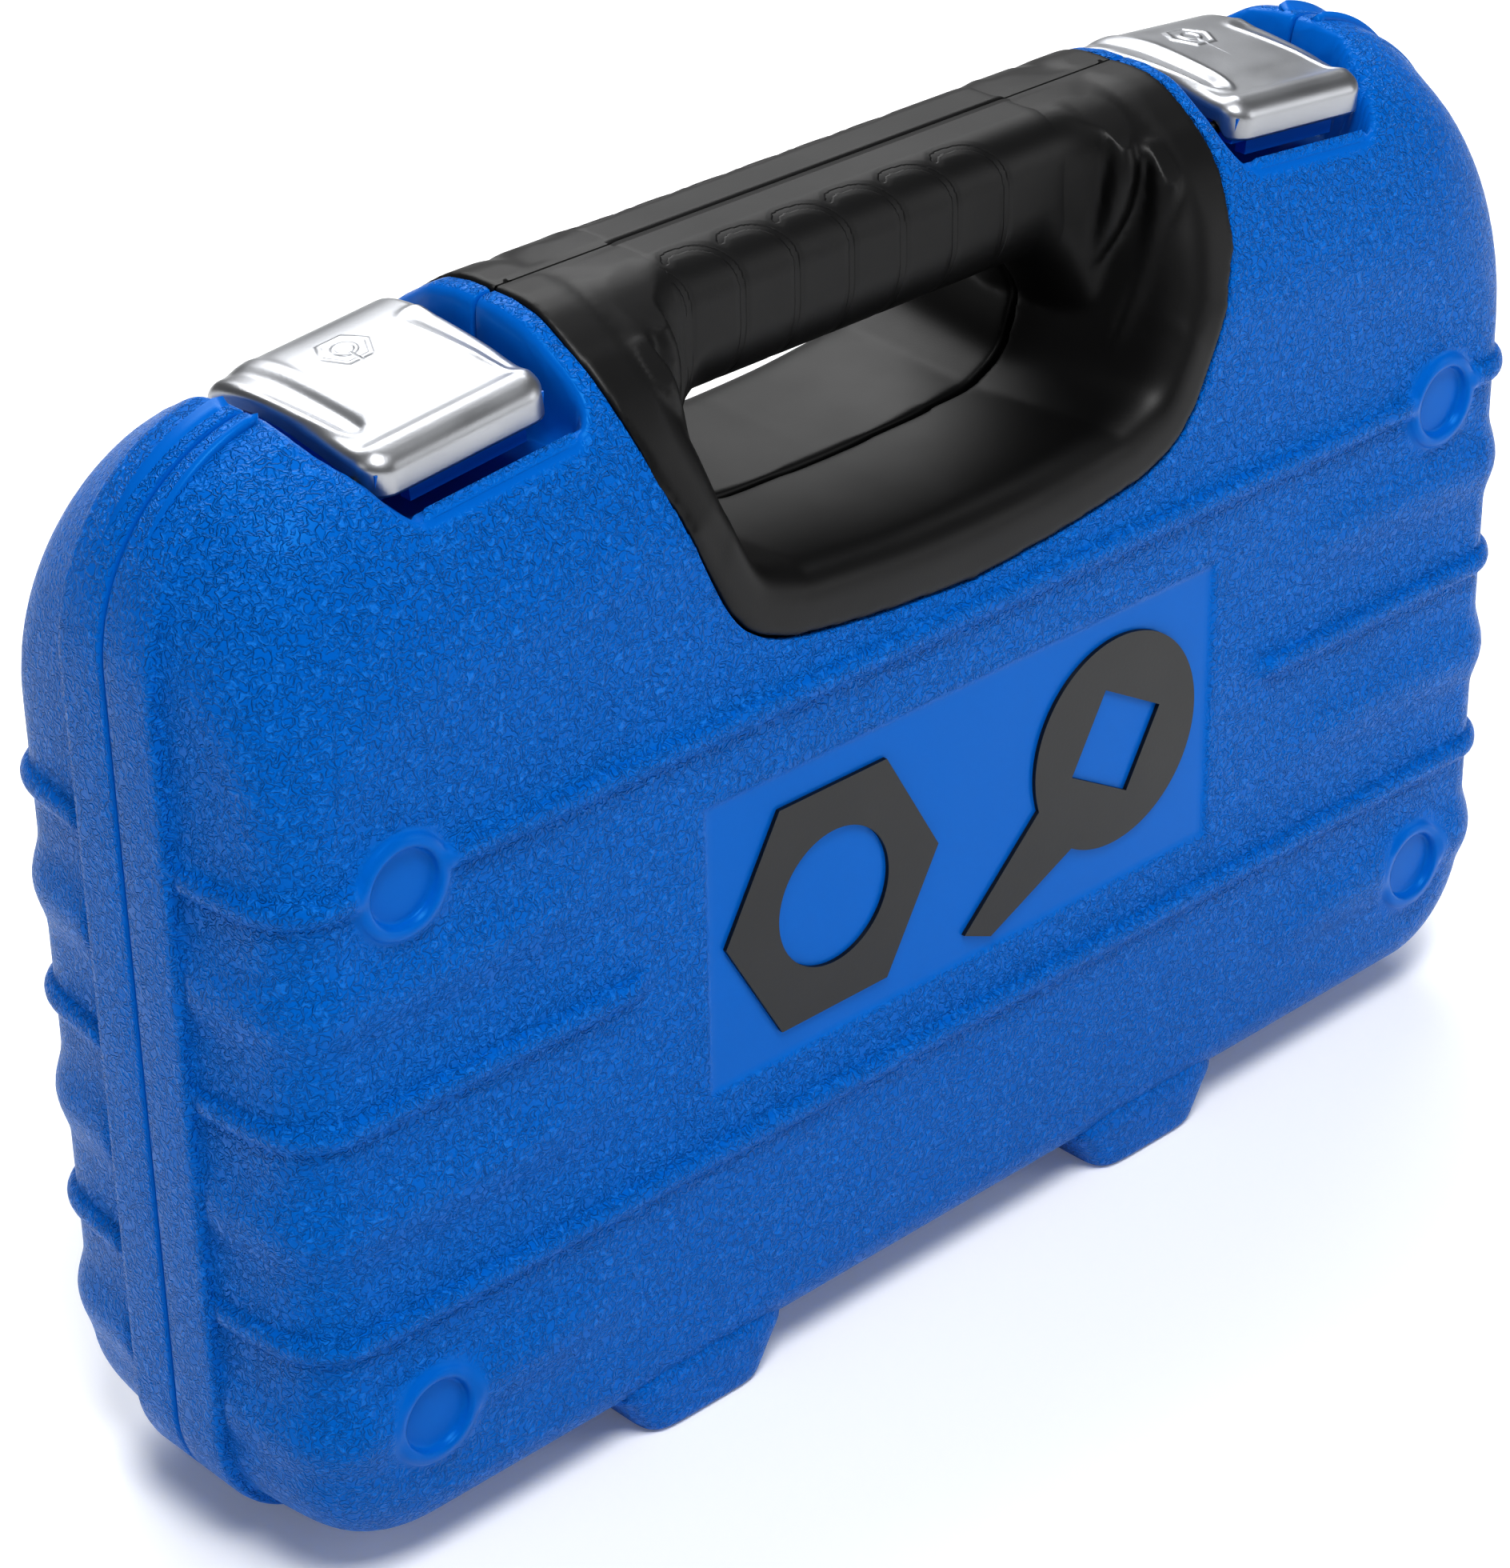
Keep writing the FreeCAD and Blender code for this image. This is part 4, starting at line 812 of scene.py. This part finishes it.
def bar_sections(x, flat, turn, share, low_turn, seam, seam_depth):
    """The bar's half section at each x, from the seam on top round to the seam underneath: a flat, a
    quarter circle, the front, a larger quarter circle, and back up the seam. Towards the ends it flares and
    drops by powers of the distance past the straight part. Returns depth and height."""
    a = np.abs(x)[:, None]
    half = BAR_HALF_DEPTH + 24.0 * np.clip((a - 50.0) / 32.0, 0, None) ** 2.2
    low = BAR_LOW - np.minimum(13.0 * np.clip((a - 45.0) / 12.0, 0, None) ** 2.4, 28.0)
    r, q = BAR_ROUND, BAR_LOW_ROUND
    depth = [flat + 0 * half, half - r + r * np.sin(turn), half + 0 * share, half - q + q * np.cos(low_turn),
             seam_depth + 0 * half * seam]
    height = [BAR_HIGH + 0 * half * flat, BAR_HIGH - r + r * np.cos(turn) + 0 * half,
              (BAR_HIGH - r) * (1 - share) + (low + q) * share, low + q - q * np.sin(low_turn),
              low + (BAR_HIGH - low) * seam]
    return np.hstack(depth), np.hstack(height)


def bar_body():
    """The grip bar's sections along x, held inside the shell's outside where they flare into the collar."""
    x = np.concatenate([np.linspace(-82, -46, 28), np.linspace(-44, 44, 24), np.linspace(46, 82, 28)])
    turn = np.linspace(0, np.pi / 2, 15)
    depth, height = bar_sections(x, np.empty(0), turn, np.linspace(0, 1, 8)[1:-1], turn,
                                 np.array([0.0, 0.5, 1.0]), SEAM_HALF)
    limit = envelope_depth(height) - 0.2
    share = smoothstep(58, 74, np.abs(x))[:, None]
    depth = np.minimum(depth, limit) * share + depth * (1 - share)
    height = np.minimum(height, BAR_HIGH - 0.2 * share)
    return np.stack([np.repeat(x[:, None], depth.shape[1], axis=1), depth, height], axis=-1)


def bar_skin():
    """The bar's fine outer skin: the bar's sections a hair larger, moved in along their normals by the
    ridge of the distance to each finger groove, a hooked line drawn over x and the way round the
    section."""
    x = np.concatenate([np.linspace(-61, -55, 9), np.arange(-54.7, 46.8, 0.33), np.linspace(47, 60, 15)])
    flat = np.array([SEAM_HALF, 2.0, 4.0, 6.0])
    turn = np.linspace(0, np.pi / 2, 52)
    share = np.linspace(0, 1, 24)[1:]
    y, z = bar_sections(x, flat, turn, share, turn[1:], np.array([0.0, 0.5]), SEAM_HIDDEN)
    points = np.stack([np.repeat(x[:, None], y.shape[1], axis=1), y, z], axis=-1)
    roll = BAR_HALF_DEPTH - BAR_ROUND - SEAM_HALF
    front = roll + BAR_ROUND * np.pi / 2
    under = front + BAR_HIGH - BAR_ROUND - BAR_LOW - BAR_LOW_ROUND
    way = np.concatenate([flat - SEAM_HALF, roll + BAR_ROUND * turn, front + (under - front) * share,
                          under + BAR_LOW_ROUND * turn[1:], [90, 90]])
    bend = np.linspace(0, np.pi / 2, 10)
    hook = np.vstack([[(0.0, 46.0)], np.stack([-10 + 10 * np.cos(bend), 22.5 - 11.5 * np.sin(bend)], axis=1),
                      [(-12.5, 10.8), (-14.2, 11.2), (-15.2, 12.4)]])
    deep = np.zeros_like(y)
    for groove in GROOVES_X:
        near = np.full(y.shape, 99.0)
        for (x0, s0), (x1, s1) in zip(hook[:-1], hook[1:]):
            px, ps = x[:, None] - groove - x0, way[None, :] - s0
            t = np.clip((px * (x1 - x0) + ps * (s1 - s0)) / ((x1 - x0) ** 2 + (s1 - s0) ** 2), 0, 1)
            near = np.minimum(near, np.hypot(px - t * (x1 - x0), ps - t * (s1 - s0)))
        cut = GROOVE_CUT[0] * ridge(near, GROOVE_CUT[1], 0.5)
        deep = np.maximum(deep, cut + GROOVE_HOLLOW[0] * ridge(near, GROOVE_HOLLOW[1]))
    ends = smoothstep(-61, -54.5, x) * (1 - smoothstep(50, 59, x))
    lift = SKIN_LIFT * ends - SKIN_SINK * (1 - ends)
    normal = grid_normals(points)
    normal *= np.sign(normal[len(x) // 2, 80, 1])
    points += normal * ((lift[:, None] - deep * ends[:, None]) * (way < 80))[:, :, None]
    points[:, :, 1] = np.maximum(points[:, :, 1], SEAM_HALF)
    points[:, :, 2] = np.minimum(points[:, :, 2], BAR_HIGH + 0.08)
    return points


def build_bar_skin(side, name, body):
    """One half of the bar's fine skin, closed at both ends."""
    part = bar_skin() * (1, side, 1)
    faces = closed_faces(part.shape[0], part.shape[1], 0)
    if side > 0:
        faces = [f[::-1] for f in faces]
    return make_piece(name, part.reshape(-1, 3), faces, finish("rubber"), body)


def fan_rods():
    """Soft ridges where the bar meets the collar: circles of changing radius carried along a smooth curve,
    two at each end of the bar."""
    tubes = []
    turn = np.linspace(0, 2 * np.pi, 17)[:-1]
    for keys in FAN:
        line = spread(keys, 30)
        along = np.gradient(line[:, :3], axis=0)
        along /= np.linalg.norm(along, axis=1, keepdims=True)
        side = np.cross(along, (0, 1, 0))
        side /= np.linalg.norm(side, axis=1, keepdims=True)
        other = np.cross(along, side)
        ring = (line[:, None, :3] + line[:, None, 3:] * (side[:, None] * np.cos(turn)[None, :, None]
                                                         + other[:, None] * np.sin(turn)[None, :, None]))
        tubes += [ring, ring * (-1, 1, 1)]
    return tubes


def blend_skin(piece):
    """Grows a piece's overlapping parts into one skin, with the panel's voxel size, and relaxes it; the
    result becomes the piece's mesh."""
    weld = bmesh.new()
    weld.from_mesh(piece.data)
    bmesh.ops.recalc_face_normals(weld, faces=weld.faces)
    weld.to_mesh(piece.data)
    weld.free()
    grow = piece.modifiers.new("grow", "REMESH")
    grow.mode = "VOXEL"
    grow.voxel_size = bpy.context.scene.case_sizes.voxel
    grow.use_smooth_shade = True
    relax = piece.modifiers.new("relax", "SMOOTH")
    relax.factor = 0.5
    relax.iterations = 10
    bpy.context.view_layer.update()
    graph = bpy.context.evaluated_depsgraph_get()
    skin = bpy.data.meshes.new_from_object(piece.evaluated_get(graph))
    piece.modifiers.clear()
    piece.data = skin
    return skin


def trim_handle(skin, side):
    """Holds the blended skin to its limits: down to the shell's outside beyond the bar, flat at the seam,
    and no higher than the handle's top."""
    where = np.empty(len(skin.vertices) * 3, np.float32)
    skin.vertices.foreach_get("co", where)
    where = where.reshape(-1, 3)
    half = np.abs(where[:, 0]) / MM
    depth = np.maximum(side * where[:, 1] / MM, SEAM_HALF)
    height = where[:, 2] / MM
    env = spread(ENVELOPE, 400)[::-1]
    over = np.interp(depth, env[:, 0], env[:, 1]) + FLANGE_RAISE
    hold = smoothstep(*HOLD_X, half) * (1 - smoothstep(*HOLD_DEPTH, depth))
    height -= hold * np.maximum(height - over, 0)
    crest = (depth < 3.0) & (height > 242.6) & (half < CREST_HALF)
    height[crest] = np.maximum(height[crest], CREST_HIGH)
    depth[(depth < 1.1) & (height > 225.0)] = SEAM_HALF
    where[:, 1] = side * depth * MM
    where[:, 2] = np.minimum(height, HANDLE_TOP) * MM
    skin.vertices.foreach_set("co", where.ravel())
    skin.update()
    skin.shade_smooth()


def build_grip(side, name, body, node):
    """One half of the handle: collar, bar and ridges grown together into one soft skin."""
    points, faces = [], []
    for part in [collar_band(), bar_body()] + fan_rods():
        faces += closed_faces(part.shape[0], part.shape[1], sum(len(p) for p in points))
        points.append((part * (1, side, 1)).reshape(-1, 3))
    piece = make_piece(name, np.vstack(points), faces, finish("rubber"), body, [node])
    trim_handle(blend_skin(piece), side)
    return piece


# --- Latch covers -----------------------------------------------------------------
# (y, height) of the crown, from the skirt in front to the fold behind
COVER_CROWN = ([-27.5, -25.0, -22.5, -19.0, -15.0, -10.0, 0.0, 8.0, 16.0, 21.0, 24.4, 25.4],
               [234.2, 235.0, 235.4, 235.6, 236.3, 237.4, 238.7, 239.2, 238.5, 236.6, 233.2, 231.0])
COVER_HALF, COVER_FRONT, COVER_REAR = 21.5, -27.4, 25.3
COVER_ROLL, COVER_CORNER, COVER_PLATE = 2.4, 5.5, 1.1
COVER_SKIRT, COVER_LIP_Z = 2.2, 228.0
ARC_STEPS, EDGE_STEPS = 18, 58
# Dents: side of the cover, middle and half width where they start and how much each grows towards the back,
# first and last y, depth
DENTS = ((-1, (14.6, 4.6), (2.4, 2.6), -13.0, 30.0, 0.95), (1, (19.6, -2.0), (1.8, 2.6), -17.0, 4.0, 0.5))
MARK_Y, MARK_HIGH, MARK_HALF, MARK_RING = 6.0, 0.28, 4.6, 2.2


def cover_height(x, y):
    """Height of the pressed cover's top: a smooth crown over y, plus a bell-shaped band before the fold,
    less two swooping dents with raised rims, plus a small hexagon with a ring in it."""
    line = spread(np.transpose(COVER_CROWN), 300)
    crown = np.interp(y, line[:, 0], line[:, 1]) + 0.35
    band = 0.75 * np.exp(-((y + 22.8) / 2.3) ** 2) * (1 - smoothstep(17.0, 20.5, np.abs(x)))
    run = np.clip((y + 17.0) / 38.0, 0, 1)
    dent = np.zeros_like(x)
    for side, middle, width, low, high, deep in DENTS:
        ahead = np.maximum(low - y, y - high).clip(0) / 3.5
        q = np.hypot((side * x - middle[0] - middle[1] * run) / (width[0] + width[1] * run), ahead)
        dent += deep * (1 - smoothstep(0.35, 1.15, q)) - 0.28 * np.exp(-((q - 1.45) / 0.28) ** 2)
    up, lean = 0.5 * (y - MARK_Y), 0.866 * x
    hexagon = np.maximum(np.abs(y - MARK_Y), np.maximum(np.abs(lean + up), np.abs(lean - up)))
    ring = np.hypot(x, y - MARK_Y)
    mark = MARK_HIGH * (ridge(hexagon - MARK_HALF, 0.7) + ridge(ring - MARK_RING, 0.6))
    return crown + band - dent + mark


def rounded_rings(half_x, half_y, r):
    """Rounded rectangles, one for each row of the columns given: a side, a quarter circle, an end and
    another quarter circle, and then the same turned half round."""
    turn = np.linspace(0, np.pi / 2, ARC_STEPS + 1)[None, :-1]
    run = np.linspace(-1, 1, EDGE_STEPS + 1)[None, :-1]
    x = np.hstack([half_x + 0 * run, half_x - r + r * np.cos(turn), (r - half_x) * run,
                   r - half_x - r * np.sin(turn)])
    y = np.hstack([(half_y - r) * run, half_y - r + r * np.sin(turn), half_y + 0 * run,
                   half_y - r + r * np.cos(turn)])
    return np.hstack([x, -x]), np.hstack([y, -y])


def build_cover(hand, name, body, node):
    """A pressed cover: rounded rectangles shrinking from the skirt's edge to the middle of the crown. A
    quarter circle rolls the crown over into the skirt, which reaches lower at the front lip; all tilted
    like the latch."""
    insets = np.concatenate([np.zeros(9), COVER_ROLL * (1 - np.cos(np.linspace(0, np.pi / 2, 9)))[1:],
                             np.linspace(COVER_ROLL, 21.2, 56)[1:]])[:, None]
    drops = np.concatenate([np.linspace(1, 0, 9), np.zeros(len(insets) - 9)])[:, None]
    half_x, half_y = COVER_HALF - insets, (COVER_REAR - COVER_FRONT) / 2 - insets
    x, y = rounded_rings(half_x, half_y, np.clip(COVER_CORNER - insets * 0.6, 0.2, half_x * 0.98))
    y += (COVER_FRONT + COVER_REAR) / 2
    roll = np.clip(COVER_ROLL - insets, 0, None)
    rounding = COVER_ROLL - np.sqrt(np.clip(COVER_ROLL ** 2 - roll ** 2, 0, None))
    z = cover_height(x * hand, y) - rounding
    lip = 1 - smoothstep(-24.5, -21.0, y[0])
    bottom = (z[0] - COVER_SKIRT) * (1 - lip) + COVER_LIP_Z * lip
    z = z - drops * (z[0] - bottom)[None, :]
    tilt_x = x * math.cos(LATCH_TILT) + (z - LATCH_TURN_Z) * math.sin(LATCH_TILT)
    tilt_z = -x * math.sin(LATCH_TILT) + (z - LATCH_TURN_Z) * math.cos(LATCH_TILT)
    points = np.stack([hand * (LATCH_X + tilt_x), y, LATCH_TURN_Z + tilt_z], axis=-1)
    rows, cols = x.shape
    faces = grid_faces(rows, cols, wrap=True).tolist()
    faces.append(list(range((rows - 1) * cols, rows * cols)))
    if hand < 0:
        faces = [f[::-1] for f in faces]
    piece = make_piece(name, points.reshape(-1, 3), faces, finish("cover"), body, [node])
    wall = piece.modifiers.new("plate", "SOLIDIFY")
    wall.thickness = COVER_PLATE * MM
    wall.offset = -1.0
    return piece


# --- Stage ------------------------------------------------------------------------
# Name, place, what it faces (metres), width of the lamp (metres), power (watts)
LIGHTS = (
    ("key_light", (-0.45, -0.7, 1.8), (0.0, 0.0, 0.15), 0.7, 24.0),
    ("fill_light", (1.4, -1.5, 0.7), (0.0, 0.0, 0.12), 1.0, 6.5),
    ("side_light", (-1.7, 0.1, 0.8), (-0.1, 0.0, 0.12), 0.8, 1.6),
    ("backdrop_light", (1.0, 1.5, 1.9), (0.9, 1.1, 0.0), 2.0, 50.0),
)
WORLD_STRENGTH, FLOOR_GLOW = 0.12, 0.08
# Azimuth, elevation and roll in degrees; place in metres; lens in millimetres
CAMERA_ANGLES, CAMERA_PLACE = (-132.7379, 29.2025, -1.0742), (-0.56418, -0.58551, 0.56537)
CAMERA_LENS, CAMERA_SHIFT = 99.786, (0.00523, -0.02105)


def add_world(scene):
    """An even, faint studio light from all round."""
    world = bpy.data.worlds.new("studio")
    scene.world = world
    world.use_nodes = True
    background = world.node_tree.nodes["Background"]
    background.inputs["Color"].default_value = (1, 1, 1, 1)
    background.inputs["Strength"].default_value = WORLD_STRENGTH


def add_floor(scene):
    """A plain pale floor that glows faintly, so that it stays white."""
    half = scene.case_sizes.floor_half
    mesh = bpy.data.meshes.new("floor")
    corners = [(-half, -half, 0), (half, -half, 0), (half, half, 0), (-half, half, 0)]
    mesh.from_pydata(corners, [], [(0, 1, 2, 3)])
    floor = bpy.data.objects.new("floor", mesh)
    scene.collection.objects.link(floor)
    material = new_material("floor_paper", scene.case_colours.floor, 0.9, Emission_Strength=FLOOR_GLOW,
                            Emission_Color=(1.0, 1.0, 1.0, 1.0))[0]
    mesh.materials.append(material)


def stand(thing, place, back, roll=0.0):
    """Places a lamp or camera with its back along a direction: level sideways, then rolled about that
    direction."""
    back = np.array(back) / np.linalg.norm(back)
    level = np.cross((0, 0, 1), back)
    level /= np.linalg.norm(level)
    right = level * math.cos(roll) + np.cross(back, level) * math.sin(roll)
    up = np.cross(back, right)
    thing.matrix_world = Matrix([(right[i], up[i], back[i], place[i]) for i in range(3)] + [(0, 0, 0, 1)])


def add_camera(scene):
    """A camera at CAMERA_PLACE whose back points along its azimuth and elevation, so that it faces the case."""
    data = bpy.data.cameras.new("camera")
    camera = bpy.data.objects.new("camera", data)
    scene.collection.objects.link(camera)
    data.lens = CAMERA_LENS
    data.sensor_width = 36.0
    data.shift_x, data.shift_y = CAMERA_SHIFT
    data.clip_start = 0.05
    azimuth, elevation, roll = (math.radians(angle) for angle in CAMERA_ANGLES)
    flat = math.cos(elevation)
    back = (flat * math.cos(azimuth), flat * math.sin(azimuth), math.sin(elevation))
    stand(camera, CAMERA_PLACE, back, roll)
    scene.camera = camera


def build_stage():
    """The view settings, floor, world, lights and camera."""
    scene = bpy.context.scene
    scene.view_settings.view_transform = "Standard"
    scene.view_settings.look = "Medium High Contrast"
    add_floor(scene)
    add_world(scene)
    for light in LIGHTS:
        add_light(*light)
    add_camera(scene)


def add_light(name, place, target, size, power):
    """A soft square lamp at place, facing target."""
    data = bpy.data.lights.new(name, "AREA")
    data.size = size
    data.energy = power
    lamp = bpy.data.objects.new(name, data)
    bpy.context.scene.collection.objects.link(lamp)
    stand(lamp, place, np.array(place) - np.array(target))


# --- Sizes and colours a user would change ----------------------------------------
def colour_property(name, description, value):
    """A colour a user can change, from its sRGB hex value."""
    return FloatVectorProperty(name=name, description=description, subtype="COLOR", size=4, min=0, max=1,
                               default=hex_linear(value))


class CaseColours(bpy.types.PropertyGroup):
    """Colours of the case and of the tools"""
    shell: colour_property("Shell", "Grained plastic of both shells", "#0068C6")
    grip: colour_property("Grip", "Soft rubber of the handle", "#060607")
    cover: colour_property("Cover", "Pressed steel latch covers", "#B4B6BA")
    inlay: colour_property("Inlay", "Black inlays on the lid", "#0E0F10")
    tray: colour_property("Tray", "Inner tray and liner", "#1B1C1E")
    pin: colour_property("Pin", "Dark pins", "#3A3B3D")
    chrome: colour_property("Chrome", "Plated tools", "#D2D4D8")
    floor: colour_property("Floor", "Plain floor and backdrop", "#FFFFFF")


class CaseSizes(bpy.types.PropertyGroup):
    """Sizes that shape the look without moving the frame"""
    voxel: FloatProperty(name="Grip blend", description="Fineness of the grip's blended surface",
                         default=0.0009, min=0.0004, unit="LENGTH", subtype="DISTANCE")
    floor_half: FloatProperty(name="Floor", description="Half the width of the floor", default=6.0,
                              unit="LENGTH", subtype="DISTANCE")


# --- Operators --------------------------------------------------------------------
class CASE_OT_shells(bpy.types.Operator):
    """Build both moulded shells"""
    bl_idname = "case.shells"
    bl_label = "Shells"

    def execute(self, context):
        build_shell(-1, "lid_moulding", "lid", "lid_shell", True)
        build_shell(1, "base_moulding", "base", "base_shell", False)
        return {"FINISHED"}


class CASE_OT_feet(bpy.types.Operator):
    """Build the four moulded feet"""
    bl_idname = "case.feet"
    bl_label = "Feet"

    def execute(self, context):
        for number, x in enumerate(LID_FEET, 1):
            build_foot("lid_foot_%d" % number, x, -1, "lid", "lid_shell")
        for number, x in enumerate(BASE_FEET, 1):
            build_foot("base_foot_%d" % number, x, 1, "base", "base_shell")
        return {"FINISHED"}


class CASE_OT_grip(bpy.types.Operator):
    """Build both halves of the handle"""
    bl_idname = "case.grip"
    bl_label = "Handle"

    def execute(self, context):
        build_grip(-1, "lid_handle", "lid", "lid_grip")
        build_grip(1, "base_handle", "base", "base_grip")
        build_bar_skin(-1, "lid_bar_skin", "lid")
        build_bar_skin(1, "base_bar_skin", "base")
        return {"FINISHED"}


class CASE_OT_covers(bpy.types.Operator):
    """Build both pressed latch covers"""
    bl_idname = "case.covers"
    bl_label = "Latch covers"

    def execute(self, context):
        build_cover(-1, "left_cover_plate", "left_latch", "latch_cover_left")
        build_cover(1, "right_cover_plate", "right_latch", "latch_cover_right")
        return {"FINISHED"}


class CASE_OT_finishes(bpy.types.Operator):
    """Give the carried-over nodes their finishes"""
    bl_idname = "case.finishes"
    bl_label = "Finishes"

    def execute(self, context):
        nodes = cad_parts
        finish_node([n for n in nodes if n.startswith("latch_body")], finish("latch"))
        finish_node([n for n in nodes if n.startswith("latch_rod") or n.endswith("_pins")], finish("pin"))
        finish_node([n for n in nodes if n.startswith("emblem")], finish("inlay"))
        finish_node(["tool_tray", "lid_liner"], finish("tray"))
        finish_node([n for n in nodes if n.startswith(("socket_", "plug_socket", "extension", "step_down"))],
                    finish("satin"))
        finish_node(["ratchet_body", "ratchet_drive", "ratchet_release_button"], finish("chrome"))
        finish_node(["ratchet_cover_plate", "ratchet_selector"], finish("satin"))
        finish_node(["ratchet_grip"], finish("sleeve"))
        return {"FINISHED"}


class CASE_OT_stage(bpy.types.Operator):
    """Set up the floor, the soft lights and the camera"""
    bl_idname = "case.stage"
    bl_label = "Stage"

    def execute(self, context):
        build_stage()
        return {"FINISHED"}


class CASE_PT_panel(bpy.types.Panel):
    """Steps that build the case"""
    bl_label = "Tool Case"
    bl_idname = "CASE_PT_panel"
    bl_space_type = "VIEW_3D"
    bl_region_type = "UI"
    bl_category = "Tool Case"

    def draw(self, context):
        for group in (context.scene.case_colours, context.scene.case_sizes):
            for key in group.__annotations__:
                self.layout.prop(group, key)
        for operator in OPERATORS:
            self.layout.operator(operator.bl_idname)


OPERATORS = (CASE_OT_stage, CASE_OT_shells, CASE_OT_feet, CASE_OT_grip, CASE_OT_covers, CASE_OT_finishes)
CLASSES = (CaseColours, CaseSizes, *OPERATORS, CASE_PT_panel)


def register():
    """Registers the classes and hangs the colours and sizes on the scene."""
    for item in CLASSES:
        bpy.utils.register_class(item)
    bpy.types.Scene.case_colours = PointerProperty(type=CaseColours)
    bpy.types.Scene.case_sizes = PointerProperty(type=CaseSizes)


def unregister():
    """Takes the colours and sizes off the scene and unregisters the classes."""
    del bpy.types.Scene.case_colours
    del bpy.types.Scene.case_sizes
    for item in reversed(CLASSES):
        bpy.utils.unregister_class(item)


def main():
    """Builds everything in order."""
    register()
    bpy.ops.case.stage()
    bpy.ops.case.shells()
    bpy.ops.case.feet()
    bpy.ops.case.grip()
    bpy.ops.case.covers()
    bpy.ops.case.finishes()


if __name__ == "__main__":
    main()
